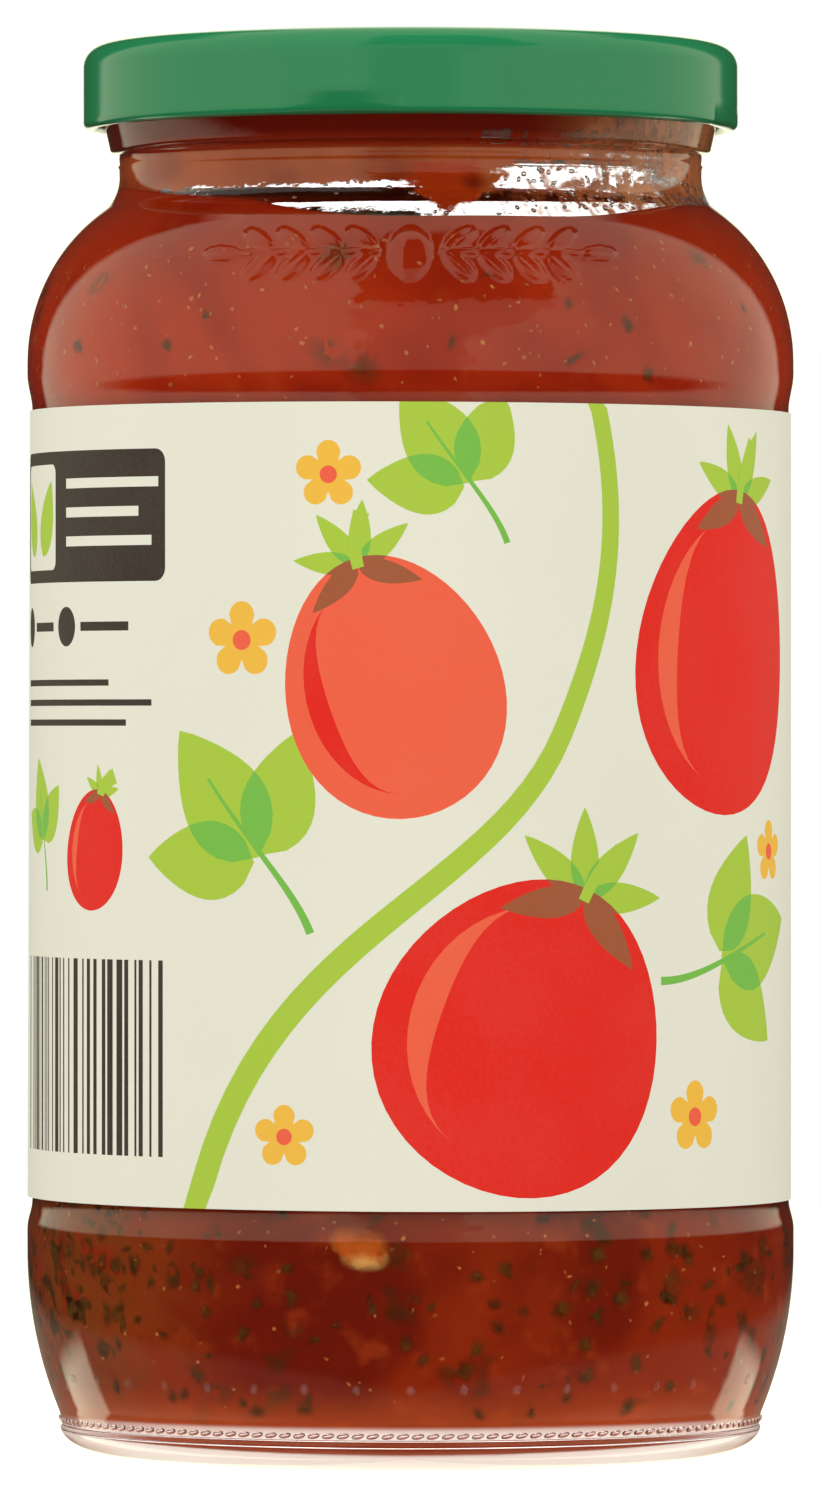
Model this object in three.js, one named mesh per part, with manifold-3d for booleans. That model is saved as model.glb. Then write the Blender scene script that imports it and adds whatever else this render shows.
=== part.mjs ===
// A shut jar of tomato sauce: a wide-mouthed glass jar with a rounded shoulder, the sauce inside it,
// a paper label wrapped round the straight panel, and a pressed steel lug cap.
// Millimetres, +Z up. The origin is the middle of the foot, and -Y is the side that faces the viewer.
import * as THREE from "three";
import { mergeVertices } from "three/addons/utils/BufferGeometryUtils.js";
import Module from "manifold-3d";

const wasm = await Module();
wasm.setup();

// Driving dimensions
const BODY_RADIUS = 43; // widest ring of the glass, above and below the label
const TOTAL_HEIGHT = 157.9; // foot to the top of the cap
const WALL = 2.7; // glass thickness at the sides
const FACETS = 48; // flats round every turned piece

// Glass, from the foot upwards
const FOOT_RADIUS = 32.5;
const FOOT_WIDTH = 2.8;
const PUSH_UP = 3; // rise of the hollow under the foot
const HEEL_RADIUS = 39.3;
const HEEL_HEIGHT = 3.5;
const STIPPLE_HEIGHT = 1.3; // upright band round the heel
const LOWER_RING_Z = 23;
const LOWER_ARC = 47.4;
const LOWER_RING_HEIGHT = 2.4;
const PANEL_DEPTH = 0.55; // how far the label panel lies inside the widest ring
const PANEL_BOTTOM = 28.6;
const PANEL_TOP = 116.9;
const UPPER_RING_Z = 121;
const SHOULDER_Z = 122.3;
const SHOULDER_ARC = 21.45;
const SHOULDER_TURN = 52.9; // degrees, where the shoulder turns over into the neck
const NECK_FILLET = 4.5;
const RING_BOTTOM = 145.45; // transfer ring under the cap
const RING_TOP = 149;
const RING_RADIUS = 33.75;
const RING_ROUND = 0.75;
const RING_DRAFT = 0.6;
const FINISH_INSET = 0.65; // the threaded wall lies this far inside the transfer ring
const FINISH_STEP = 0.9;
const LIP_GAP = 0.95; // top of the cap to the glass lip

// Glass, inside
const BASE_THICKNESS = 3.8;
const INNER_CORNER = 9;
const INNER_CORNER_TURN = -17; // degrees, where the corner meets the lower arc
const INNER_HEEL_Z = 4.6;

// Thread ridges on the glass and lugs in the cap
const LUGS = 4;
const FIRST_LUG = -12; // degrees round from the viewer, towards +X
const LUG_SPAN = 20;
const LUG_REACH = 0.35;
const RIDGE_SPAN = 66;
const RIDGE_DROP = 2.2;
const RIDGE_STEPS = 10;
const RIDGE_WIDTH = 1.6;
const RIDGE_REACH = 34.9;
const RIDGE_ROOT = 0.8; // how deep the ridge is rooted in the wall
const RIDGE_CREST = 0.3; // share of the width that is flat on top
const RIDGE_START = 2.6; // lip to the high end of a ridge

// Cap
const CAP_RADIUS = 36.7;
const CAP_HEIGHT = 9.6;
const CAP_SHEET = 0.5;
const CAP_CORNER = 2.6;
const CURL_RADIUS = 0.85;
const CAP_RIM_WIDTH = 1.6;
const CAP_PANEL_RADIUS = 29.4;
const CAP_PANEL_DROP = 0.6;
const BUTTON_RADIUS = 13;
const BUTTON_DROP = 0.4;
const BUTTON_DISH = 0.2;
const CAP_STEP_WIDTH = 0.9;

// Label
const LABEL_BOTTOM = 28.8;
const LABEL_TOP = 116.7;
const LABEL_GAP = 0.1;
const LABEL_SHEET = 0.2;

// Sauce
const SAUCE_GAP = 0.3;
const SAUCE_LEVEL = 136.3; // at the axis
const SAUCE_TILT = 0.045; // rise per millimetre towards -X
const SAUCE_CLIMB = 0.0027; // rise per square millimetre towards both sides
const SAUCE_TURN = 132.5; // above this height its side follows the level
const SAUCE_RIPPLE = 0.3;
const SAUCE_WAVE = 36; // crest to crest

// Raised sprig on the shoulder
const SPRIG_Z = 133; // height of the stem
const SPRIG_FIRST = 3.6; // middle of the sprig to the first pair of leaves
const SPRIG_STEP = 3.9;
const SPRIG_PAIRS = 4;
const LEAF_LENGTH = 4.8;
const LEAF_WIDTH = 2.3;
const LEAF_LEAN = 44; // degrees off the stem
const STEM_WIDTH = 1.1;
const BOSS_LENGTH = 7;
const BOSS_WIDTH = 4.8;
const RELIEF = 0.7; // how far the sprig stands out of the glass

const radians = THREE.MathUtils.degToRad;
const point = (r, z) => new THREE.Vector2(r, z);

// Points along an elliptical arc about (r, z). Angles are in degrees, with 0 pointing away from the axis.
function arc(r, z, sizeR, sizeZ, from, to, steps) {
  const points = [];
  for (let i = 0; i <= steps; i++) {
    const turn = radians(from + ((to - from) * i) / steps);
    points.push(point(r + sizeR * Math.cos(turn), z + sizeZ * Math.sin(turn)));
  }
  return points;
}

// Points that ease from one radius to another between two heights.
function ease(fromR, fromZ, toR, toZ, steps) {
  const points = [];
  for (let i = 0; i <= steps; i++) {
    const share = i / steps;
    const blend = (1 - Math.cos(Math.PI * share)) / 2;
    points.push(point(fromR + (toR - fromR) * blend, fromZ + (toZ - fromZ) * share));
  }
  return points;
}

// Points on a shallow dome that starts on the axis, at shares of its radius.
function dome(radius, z, rise, shares) {
  return shares.map((share) => point(radius * share, z + rise * (1 - share ** 2)));
}

// A profile turned about the Z axis.
function turned(profile) {
  return new THREE.LatheGeometry(profile, FACETS).rotateX(Math.PI / 2);
}

function toSolid(geometry) {
  const bare = geometry.clone();
  bare.deleteAttribute("normal");
  bare.deleteAttribute("uv");
  const merged = mergeVertices(bare, 1e-4);
  return new wasm.Manifold(
    new wasm.Mesh({
      numProp: 3,
      vertProperties: merged.attributes.position.array,
      triVerts: new Uint32Array(merged.index.array),
    }),
  );
}

function toGeometry(solid) {
  const mesh = solid.getMesh();
  const geometry = new THREE.BufferGeometry();
  geometry.setAttribute("position", new THREE.BufferAttribute(mesh.vertProperties, 3));
  geometry.setIndex(new THREE.BufferAttribute(mesh.triVerts, 1));
  geometry.computeVertexNormals();
  return geometry;
}

function part(name, geometry, finish) {
  const mesh = new THREE.Mesh(geometry, new THREE.MeshStandardMaterial(finish));
  mesh.name = name;
  return mesh;
}

// Sizes that follow from the driving dimensions
const shoulderCentre = point(BODY_RADIUS - SHOULDER_ARC, SHOULDER_Z);
const turnCos = Math.cos(radians(SHOULDER_TURN));
const turnSin = Math.sin(radians(SHOULDER_TURN));
const arcSum = SHOULDER_ARC + NECK_FILLET;
const filletCentre = point(shoulderCentre.x + arcSum * turnCos, shoulderCentre.y + arcSum * turnSin);
const neckRadius = filletCentre.x - NECK_FILLET;
const boreRadius = neckRadius - WALL;
const finishRadius = RING_RADIUS - FINISH_INSET;
const lipTop = TOTAL_HEIGHT - LIP_GAP;
const lipRadius = (finishRadius - boreRadius) / 2;
const panelRadius = BODY_RADIUS - PANEL_DEPTH;
const lowerCentre = point(BODY_RADIUS - LOWER_ARC, LOWER_RING_Z);
const stippleTop = HEEL_HEIGHT + STIPPLE_HEIGHT;
const lowerStart = THREE.MathUtils.radToDeg(Math.asin((stippleTop - lowerCentre.y) / LOWER_ARC));

// Radius of the inside of the shoulder and the neck at a height.
function neckInside(z) {
  const rise = z - shoulderCentre.y;
  const innerArc = SHOULDER_ARC - WALL;
  if (rise < innerArc * turnSin) return shoulderCentre.x + Math.sqrt(innerArc ** 2 - rise ** 2);
  const fall = Math.max(filletCentre.y - z, 0);
  return filletCentre.x - Math.sqrt((NECK_FILLET + WALL) ** 2 - fall ** 2);
}

// The inner surface of the glass from the middle of the base up to the shoulder's turn,
// drawn in by a clearance. The sauce follows the same line.
function insideProfile(clearance) {
  const side = BODY_RADIUS - WALL - clearance;
  const innerArc = LOWER_ARC - WALL - clearance;
  const lowerSide = arc(lowerCentre.x, lowerCentre.y, innerArc, innerArc, INNER_CORNER_TURN, 0, 3);
  const corner = INNER_CORNER - clearance;
  const cornerR = lowerSide[0].x - corner * Math.cos(radians(INNER_CORNER_TURN));
  const cornerZ = lowerSide[0].y - corner * Math.sin(radians(INNER_CORNER_TURN));
  const floor = INNER_HEEL_Z + clearance;
  const rise = PUSH_UP + BASE_THICKNESS - INNER_HEEL_Z;
  const innerShoulder = SHOULDER_ARC - WALL - clearance;
  return [
    ...dome(cornerR, floor, rise, [0, 0.55]),
    ...arc(cornerR, cornerZ, corner, cornerZ - floor, -90, INNER_CORNER_TURN, 4),
    ...lowerSide.slice(1),
    point(side, SHOULDER_Z),
    ...arc(shoulderCentre.x, shoulderCentre.y, innerShoulder, innerShoulder, 0, SHOULDER_TURN, 5).slice(1),
  ];
}

// Glass jar
function jarProfile() {
  const outside = [
    ...dome(FOOT_RADIUS - FOOT_WIDTH, 0, PUSH_UP, [0, 0.45, 0.8, 1]),
    ...arc(FOOT_RADIUS, HEEL_HEIGHT, HEEL_RADIUS - FOOT_RADIUS, HEEL_HEIGHT, -90, 0, 5),
    ...arc(lowerCentre.x, lowerCentre.y, LOWER_ARC, LOWER_ARC, lowerStart, 0, 6),
    ...ease(BODY_RADIUS, LOWER_RING_Z + LOWER_RING_HEIGHT, panelRadius, PANEL_BOTTOM, 3),
    ...ease(panelRadius, PANEL_TOP, BODY_RADIUS, UPPER_RING_Z, 3),
    ...arc(shoulderCentre.x, shoulderCentre.y, SHOULDER_ARC, SHOULDER_ARC, 0, SHOULDER_TURN, 7),
    ...arc(filletCentre.x, filletCentre.y, NECK_FILLET, NECK_FILLET, 180 + SHOULDER_TURN, 180, 3).slice(1),
  ];
  const ring = [
    ...arc(neckRadius, RING_BOTTOM + RING_ROUND, RING_RADIUS - neckRadius, RING_ROUND, -90, 0, 2),
    point(RING_RADIUS + RING_DRAFT, RING_TOP),
    point(finishRadius, RING_TOP + FINISH_STEP),
  ];
  const lip = arc(finishRadius - lipRadius, lipTop - lipRadius, lipRadius, lipRadius, 0, 180, 5);
  const innerFillet = NECK_FILLET + WALL;
  const bore = arc(filletCentre.x, filletCentre.y, innerFillet, innerFillet, 180, 180 + SHOULDER_TURN, 3);
  return [...outside, ...ring, ...lip, ...bore, ...insideProfile(0).reverse().slice(1)];
}

// One sloping ridge of the glass thread, swept round the finish.
function ridge(startDegrees) {
  const half = RIDGE_WIDTH / 2;
  const root = finishRadius - RIDGE_ROOT;
  const section = [
    [root, -half],
    [RIDGE_REACH, -half * RIDGE_CREST],
    [RIDGE_REACH, half * RIDGE_CREST],
    [root, half],
  ];
  const high = lipTop - RIDGE_START;
  const vertices = [];
  const faces = [];
  for (let i = 0; i <= RIDGE_STEPS; i++) {
    const share = i / RIDGE_STEPS;
    const turn = radians(startDegrees + RIDGE_SPAN * share);
    const z = high - RIDGE_DROP * share;
    for (const [r, up] of section) vertices.push(r * Math.sin(turn), -r * Math.cos(turn), z + up);
  }
  const sides = section.length;
  for (let i = 0; i < RIDGE_STEPS; i++) {
    for (let j = 0; j < sides; j++) {
      const a = i * sides + j;
      const b = i * sides + ((j + 1) % sides);
      faces.push(a, a + sides, b, b, a + sides, b + sides);
    }
  }
  const end = RIDGE_STEPS * sides;
  faces.push(0, 1, 2, 0, 2, 3, end, end + 2, end + 1, end, end + 3, end + 2);
  const geometry = new THREE.BufferGeometry();
  geometry.setAttribute("position", new THREE.Float32BufferAttribute(vertices, 3));
  geometry.setIndex(faces);
  return geometry;
}

// A flattened egg laid on the shoulder, by its distances along the stem and above it over the glass.
// It leans by an angle off the stem.
function boss(along, above, length, width, lean) {
  const stemTurn = Math.asin((SPRIG_Z - shoulderCentre.y) / SHOULDER_ARC);
  const slope = stemTurn + above / SHOULDER_ARC;
  const r = shoulderCentre.x + SHOULDER_ARC * Math.cos(slope);
  const z = shoulderCentre.y + SHOULDER_ARC * Math.sin(slope);
  const geometry = new THREE.SphereGeometry(0.5, 6, 4).rotateZ(Math.PI / 2);
  geometry.scale(length, width, RELIEF * 2);
  geometry.rotateZ(radians(lean));
  geometry.rotateX(Math.PI / 2 - slope);
  geometry.translate(0, -r, z);
  return geometry.rotateZ(along / r);
}

// Two stems run out from an oval boss, each with pairs of leaves and one leaf at its end.
function sprig() {
  const shapes = [boss(0, 0, BOSS_LENGTH, BOSS_WIDTH, 90)];
  const outwards = (LEAF_LENGTH / 2) * Math.cos(radians(LEAF_LEAN));
  const upwards = (LEAF_LENGTH / 2) * Math.sin(radians(LEAF_LEAN));
  for (const side of [-1, 1]) {
    for (let i = 0; i < SPRIG_PAIRS; i++) {
      const node = SPRIG_FIRST + SPRIG_STEP * i;
      shapes.push(boss(side * (node + SPRIG_STEP / 2), 0, SPRIG_STEP * 1.3, STEM_WIDTH, 0));
      for (const up of [-1, 1]) {
        const lean = side * up * LEAF_LEAN;
        shapes.push(boss(side * (node + outwards), up * upwards, LEAF_LENGTH, LEAF_WIDTH, lean));
      }
    }
    const end = SPRIG_FIRST + SPRIG_STEP * SPRIG_PAIRS;
    shapes.push(boss(side * (end + LEAF_LENGTH / 2), 0, LEAF_LENGTH, LEAF_WIDTH, 0));
  }
  return shapes;
}

function jar() {
  let glass = toSolid(turned(jarProfile()));
  for (let i = 0; i < LUGS; i++) {
    glass = glass.add(toSolid(ridge(FIRST_LUG + LUG_SPAN / 2 + (360 / LUGS) * i)));
  }
  for (const shape of sprig()) glass = glass.add(toSolid(shape));
  const finish = { color: 0xeaf2ee, roughness: 0.05, metalness: 0, transparent: true, opacity: 0.35 };
  return part("jar", toGeometry(glass), finish);
}

// Sauce
// The thick sauce climbs at both sides, most on the -X side, and it has a few slow waves.
function sauceLevel(x, y) {
  const turn = (2 * Math.PI) / SAUCE_WAVE;
  const ripple = SAUCE_RIPPLE * Math.sin(x * turn) * Math.cos(y * turn);
  return SAUCE_LEVEL - SAUCE_TILT * x + SAUCE_CLIMB * x ** 2 + ripple;
}

function sauce() {
  const sides = insideProfile(SAUCE_GAP).filter((p) => p.y < SAUCE_TURN);
  const rim = neckInside(SAUCE_LEVEL) - SAUCE_GAP;
  const neckShares = [0.3, 0.55, 0.8];
  const topShares = [1, 0.78, 0.52, 0.26, 0];
  const moved = [...neckShares.map(() => 1), ...topShares];
  const profile = [...sides, ...moved.map((share) => point(rim * share, SAUCE_LEVEL))];
  const geometry = turned(profile);
  const position = geometry.attributes.position;
  for (let i = 0; i <= FACETS; i++) {
    const turn = (2 * Math.PI * i) / FACETS;
    moved.forEach((share, ring) => {
      const level = sauceLevel(rim * share * Math.sin(turn), -rim * share * Math.cos(turn));
      const climb = ring < neckShares.length ? neckShares[ring] : 1;
      const z = SAUCE_TURN + (level - SAUCE_TURN) * climb;
      const r = (neckInside(z) - SAUCE_GAP) * share;
      position.setXYZ(i * profile.length + sides.length + ring, r * Math.sin(turn), -r * Math.cos(turn), z);
    });
  }
  return part("sauce", geometry, { color: 0x8a1d08, roughness: 0.45, metalness: 0 });
}

// Paper label
function label() {
  const inner = panelRadius + LABEL_GAP;
  const outer = inner + LABEL_SHEET;
  const profile = [
    point(inner, LABEL_BOTTOM),
    point(outer, LABEL_BOTTOM),
    point(outer, LABEL_TOP),
    point(inner, LABEL_TOP),
    point(inner, LABEL_BOTTOM),
  ];
  return part("label", turned(profile), { color: 0xe9e6d2, roughness: 0.7, metalness: 0 });
}

// Cap
function capProfile() {
  const skirtBottom = TOTAL_HEIGHT - CAP_HEIGHT;
  const curlZ = skirtBottom + CURL_RADIUS;
  const curlR = CAP_RADIUS - CURL_RADIUS;
  const cornerR = CAP_RADIUS - CAP_CORNER;
  const cornerZ = TOTAL_HEIGHT - CAP_CORNER;
  const panelTop = TOTAL_HEIGHT - CAP_PANEL_DROP;
  const buttonTop = panelTop - BUTTON_DROP;
  const innerSkirt = CAP_RADIUS - CAP_SHEET;
  const innerCorner = CAP_CORNER - CAP_SHEET;
  const top = [
    point(cornerR - CAP_RIM_WIDTH, TOTAL_HEIGHT),
    point(CAP_PANEL_RADIUS, panelTop),
    point(BUTTON_RADIUS + CAP_STEP_WIDTH, panelTop),
    point(BUTTON_RADIUS, buttonTop),
    point(0, buttonTop - BUTTON_DISH),
  ];
  const under = top.map((p) => point(p.x, p.y - CAP_SHEET)).reverse();
  return [
    ...under,
    ...arc(cornerR, cornerZ, innerCorner, innerCorner, 90, 0, 3),
    point(innerSkirt, curlZ + CURL_RADIUS),
    ...arc(curlR, curlZ, CURL_RADIUS, CURL_RADIUS, 90, 360, 6),
    ...arc(cornerR, cornerZ, CAP_CORNER, CAP_CORNER, 0, 90, 4),
    ...top,
  ];
}

// A tab pressed inwards from the curl, which hooks under a thread ridge.
function lug(degrees) {
  const skirtBottom = TOTAL_HEIGHT - CAP_HEIGHT;
  const outer = CAP_RADIUS - CURL_RADIUS;
  const inner = CAP_RADIUS - CURL_RADIUS * 2 - LUG_REACH;
  const half = radians(LUG_SPAN / 2);
  const outline = new THREE.Shape();
  outline.absarc(0, 0, outer, -half - Math.PI / 2, half - Math.PI / 2, false);
  outline.absarc(0, 0, inner, half - Math.PI / 2, -half - Math.PI / 2, true);
  const geometry = new THREE.ExtrudeGeometry(outline, {
    depth: CURL_RADIUS,
    bevelEnabled: false,
    curveSegments: 4,
  });
  return geometry.translate(0, 0, skirtBottom + CURL_RADIUS / 2).rotateZ(radians(degrees));
}

function cap() {
  let steel = toSolid(turned(capProfile()));
  for (let i = 0; i < LUGS; i++) steel = steel.add(toSolid(lug(FIRST_LUG + (360 / LUGS) * i)));
  return part("lid", toGeometry(steel), { color: 0x3f8f5c, roughness: 0.3, metalness: 0.2 });
}

const product = new THREE.Group();
product.add(jar(), sauce(), label(), cap());
export default product;
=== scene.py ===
import math

import bmesh
import bpy
import numpy as np
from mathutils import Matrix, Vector, noise
from mathutils.geometry import delaunay_2d_cdt


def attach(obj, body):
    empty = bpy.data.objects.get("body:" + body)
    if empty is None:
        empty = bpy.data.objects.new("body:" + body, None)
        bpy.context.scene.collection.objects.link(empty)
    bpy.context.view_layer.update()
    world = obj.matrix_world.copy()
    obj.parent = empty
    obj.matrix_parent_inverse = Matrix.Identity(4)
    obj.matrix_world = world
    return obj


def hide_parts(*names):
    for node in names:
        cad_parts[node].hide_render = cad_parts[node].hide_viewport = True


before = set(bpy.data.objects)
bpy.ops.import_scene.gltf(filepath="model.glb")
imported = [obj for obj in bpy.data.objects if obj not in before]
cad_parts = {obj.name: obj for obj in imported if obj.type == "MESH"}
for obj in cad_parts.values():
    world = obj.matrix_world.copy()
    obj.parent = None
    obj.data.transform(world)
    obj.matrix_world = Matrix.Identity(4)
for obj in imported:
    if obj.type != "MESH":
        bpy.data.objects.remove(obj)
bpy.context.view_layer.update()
MM = 0.001  # sizes below are in millimetres, meshes in metres

# Glass jar
# Clear flint glass, pressed and blown in a two-part mould: a hollow foot, a label panel between two wider
# rings, a round shoulder with a raised laurel sprig, a short neck and a transfer ring under the finish with
# its thread.
body_radius = 43
total_height = 157.9
wall = 2.7
foot_radius, foot_width, push_up = 32.5, 2.8, 3
heel_radius, heel_height, heel_groove, stipple_height = 39.3, 3.3, 0.25, 1.5
lower_ring_z, lower_arc, lower_ring_height = 23, 47.4, 2.4
panel_depth, panel_bottom, panel_top = 0.55, 28.6, 116.9
upper_ring_z, shoulder_z, shoulder_arc, shoulder_turn = 121, 122.3, 21.45, math.radians(52.9)
neck_fillet = 4.5
ring_bottom, ring_top, ring_radius, ring_round, ring_draft = 145.45, 149, 33.75, 0.75, 0.6
finish_inset, finish_step, lip_gap = 0.65, 0.9, 0.95
base_thickness, inner_corner, inner_corner_turn, inner_heel_z = 3.8, 9, math.radians(-17), 4.6
seam_z, seam_depth, seam_height = 144.1, 0.14, 0.5
shoulder_centre = (body_radius - shoulder_arc, shoulder_z)
fillet_centre = (
    shoulder_centre[0] + (shoulder_arc + neck_fillet) * math.cos(shoulder_turn),
    shoulder_centre[1] + (shoulder_arc + neck_fillet) * math.sin(shoulder_turn),
)
neck_radius = fillet_centre[0] - neck_fillet
bore_radius = neck_radius - wall
finish_radius = ring_radius - finish_inset
lip_top = total_height - lip_gap
lip_radius = (finish_radius - bore_radius) / 2
panel_radius = body_radius - panel_depth
lower_centre = (body_radius - lower_arc, lower_ring_z)
lower_start = math.asin((heel_height + stipple_height - lower_ring_z) / lower_arc)


def arc(centre, size, start, end, steps):
    """Points on an elliptical arc, with angle 0 pointing away from the axis."""
    turns = np.linspace(start, end, steps + 1)
    return [(centre[0] + size[0] * math.cos(t), centre[1] + size[1] * math.sin(t)) for t in turns]


def ease(start, end, steps):
    """Points that ease from one radius to another between two heights."""
    shares = np.linspace(0, 1, steps + 1)
    blend = (1 - np.cos(np.pi * shares)) / 2
    return [
        (start[0] + (end[0] - start[0]) * b, start[1] + (end[1] - start[1]) * s)
        for s, b in zip(shares, blend)
    ]


def dome(radius, z, rise, steps):
    """Points on a shallow dome that starts on the axis."""
    return [(radius * s, z + rise * (1 - s * s)) for s in np.linspace(0, 1, steps + 1)]


def neck_inside(z):
    """Radius of the inside of the shoulder and the neck at a height."""
    rise = np.asarray(z) - shoulder_z
    inner_arc = shoulder_arc - wall
    in_shoulder = shoulder_centre[0] + np.sqrt(np.maximum(inner_arc**2 - rise**2, 0))
    inner_fillet = neck_fillet + wall
    fall = np.clip(fillet_centre[1] - z, 0, inner_fillet)
    in_neck = fillet_centre[0] - np.sqrt(inner_fillet**2 - fall**2)
    return np.where(rise < inner_arc * math.sin(shoulder_turn), in_shoulder, in_neck)


def inside_profile(clearance):
    """The inner surface of the glass from the middle of its floor to the end of the shoulder's turn."""
    inner_arc = lower_arc - wall - clearance
    lower_side = arc(lower_centre, (inner_arc, inner_arc), inner_corner_turn, 0, 7)
    corner = inner_corner - clearance
    corner_r = lower_side[0][0] - corner * math.cos(inner_corner_turn)
    corner_z = lower_side[0][1] - corner * math.sin(inner_corner_turn)
    floor_z = inner_heel_z + clearance
    rise = push_up + base_thickness - inner_heel_z
    shoulder = shoulder_arc - wall - clearance
    return [
        *dome(corner_r, floor_z, rise, 5)[:-1],
        *arc((corner_r, corner_z), (corner, corner_z - floor_z), -math.pi / 2, inner_corner_turn, 8),
        *lower_side[1:],
        *arc(shoulder_centre, (shoulder, shoulder), 0, shoulder_turn, 10),
    ]


def jar_profile():
    quarter = math.pi / 2
    relief_low, relief_high = math.radians(15), math.radians(46)
    shoulder_size = (shoulder_arc, shoulder_arc)
    inner_size = (neck_fillet + wall, neck_fillet + wall)
    foot = [
        *dome(foot_radius - foot_width, 0, push_up, 6),
        *arc((foot_radius, heel_height), (heel_radius - foot_radius, heel_height), -quarter, 0, 9),
        (heel_radius - heel_groove, heel_height + heel_groove),
        (heel_radius, heel_height + heel_groove * 2),
    ]
    body = [
        *arc(lower_centre, (lower_arc, lower_arc), lower_start, 0, 18),
        *ease((body_radius, lower_ring_z + lower_ring_height), (panel_radius, panel_bottom), 7),
        *ease((panel_radius, panel_top), (body_radius, upper_ring_z), 7),
    ]
    shoulder = [
        *arc(shoulder_centre, shoulder_size, 0, relief_low, 5),
        *arc(shoulder_centre, shoulder_size, relief_low, relief_high, 40)[1:],
        *arc(shoulder_centre, shoulder_size, relief_high, shoulder_turn, 3)[1:],
    ]
    neck = [
        *arc(fillet_centre, (neck_fillet, neck_fillet), math.pi + shoulder_turn, math.pi, 9)[1:],
        (neck_radius, seam_z - seam_height / 2),
        (neck_radius + seam_depth, seam_z),
        (neck_radius, seam_z + seam_height / 2),
    ]
    ring_size = (ring_radius - neck_radius, ring_round)
    finish = [
        *arc((neck_radius, ring_bottom + ring_round), ring_size, -quarter, 0, 6),
        (ring_radius + ring_draft * 0.85, ring_top - 0.5),
        (ring_radius + ring_draft, ring_top - 0.15),
        (ring_radius + ring_draft - 0.2, ring_top),
        (finish_radius, ring_top + finish_step),
    ]
    lip_z = lip_top - lip_radius
    thread = [(finish_radius, z) for z in np.linspace(ring_top + finish_step, lip_z, 14)[1:-1]]
    lip = arc((finish_radius - lip_radius, lip_z), (lip_radius, lip_radius), 0, math.pi, 10)
    bore = arc(fillet_centre, inner_size, math.pi, math.pi + shoulder_turn, 9)
    inside = inside_profile(0)[::-1]
    return [*foot, *body, *shoulder, *neck, *finish, *thread, *lip, *bore, *inside[1:]]


def node(tree, kind, inputs=(), **settings):
    """Adds a node and fills its inputs, each with a plain value or with another node's output."""
    made = tree.nodes.new(kind)
    for name, value in settings.items():
        setattr(made, name, value)
    for key, value in dict(inputs).items():
        if isinstance(value, bpy.types.NodeSocket):
            tree.links.new(value, made.inputs[key])
        else:
            made.inputs[key].default_value = value
    return made


def maths(tree, operation, *values):
    return node(tree, "ShaderNodeMath", enumerate(values), operation=operation).outputs[0]


def vector_maths(tree, operation, *values, output="Vector"):
    return node(tree, "ShaderNodeVectorMath", enumerate(values), operation=operation).outputs[output]


def new_tree(name, inputs):
    """An empty geometry tree with named inputs, and the sockets that give them."""
    tree = bpy.data.node_groups.new(name, "GeometryNodeTree")
    for label, kind in inputs.items():
        tree.interface.new_socket(label, in_out="INPUT", socket_type="NodeSocket" + kind)
    tree.interface.new_socket("Piece", in_out="OUTPUT", socket_type="NodeSocketGeometry")
    return tree, tree.nodes.new("NodeGroupInput").outputs


def end_tree(tree, geometry, material):
    real = node(tree, "GeometryNodeRealizeInstances", {"Geometry": geometry})
    painted = node(tree, "GeometryNodeSetMaterial", {"Geometry": real.outputs[0], "Material": material})
    node(tree, "NodeGroupOutput", {"Piece": painted.outputs[0]})


def turning_tree():
    """Turns a profile, drawn as a curve, round the jar's axis. Gather draws the facets towards the front."""
    tree, given = new_tree(
        "turned_round_the_axis",
        {
            "Profile": "Geometry",
            "Facets": "Int",
            "Guide radius": "Float",
            "Gather": "Float",
            "Finish": "Material",
        },
    )
    circle = node(tree, "GeometryNodeCurvePrimitiveCircle", {"Resolution": given["Facets"]})
    factor = node(tree, "GeometryNodeSplineParameter").outputs["Factor"]
    turn = maths(tree, "MULTIPLY", factor, 2 * math.pi)
    gathered = maths(tree, "MULTIPLY", maths(tree, "SINE", turn), given["Gather"])
    angle = maths(tree, "SUBTRACT", turn, gathered)
    x = maths(tree, "MULTIPLY", maths(tree, "SINE", angle), given["Guide radius"])
    y = maths(tree, "MULTIPLY", maths(tree, "COSINE", angle), given["Guide radius"])
    place = node(tree, "ShaderNodeCombineXYZ", {"X": x, "Y": maths(tree, "MULTIPLY", y, -1.0)})
    guide = node(
        tree, "GeometryNodeSetPosition", {"Geometry": circle.outputs["Curve"], "Position": place.outputs[0]}
    )
    swept = {"Curve": guide.outputs[0], "Profile Curve": given["Profile"]}
    skin = node(tree, "GeometryNodeCurveToMesh", swept)
    closed = node(tree, "GeometryNodeMergeByDistance", {"Geometry": skin.outputs[0], "Distance": 1e-6})
    outwards = node(tree, "GeometryNodeFlipFaces", {"Mesh": closed.outputs[0]})
    end_tree(tree, outwards.outputs[0], given["Finish"])
    return tree


def grown(carrier, tree, values):
    """The plain mesh that a geometry tree makes on an object."""
    modifier = carrier.modifiers.new(tree.name, "NODES")
    modifier.node_group = tree
    sockets = {s.name: s.identifier for s in tree.interface.items_tree if s.in_out == "INPUT"}
    for name, value in values.items():
        modifier[sockets[name]] = value
    mesh = bpy.data.meshes.new_from_object(carrier.evaluated_get(bpy.context.evaluated_depsgraph_get()))
    carrier.modifiers.remove(modifier)
    return mesh


def linked(name, data):
    """A new object in the scene."""
    made = bpy.data.objects.new(name, data)
    bpy.context.scene.collection.objects.link(made)
    return made


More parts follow.
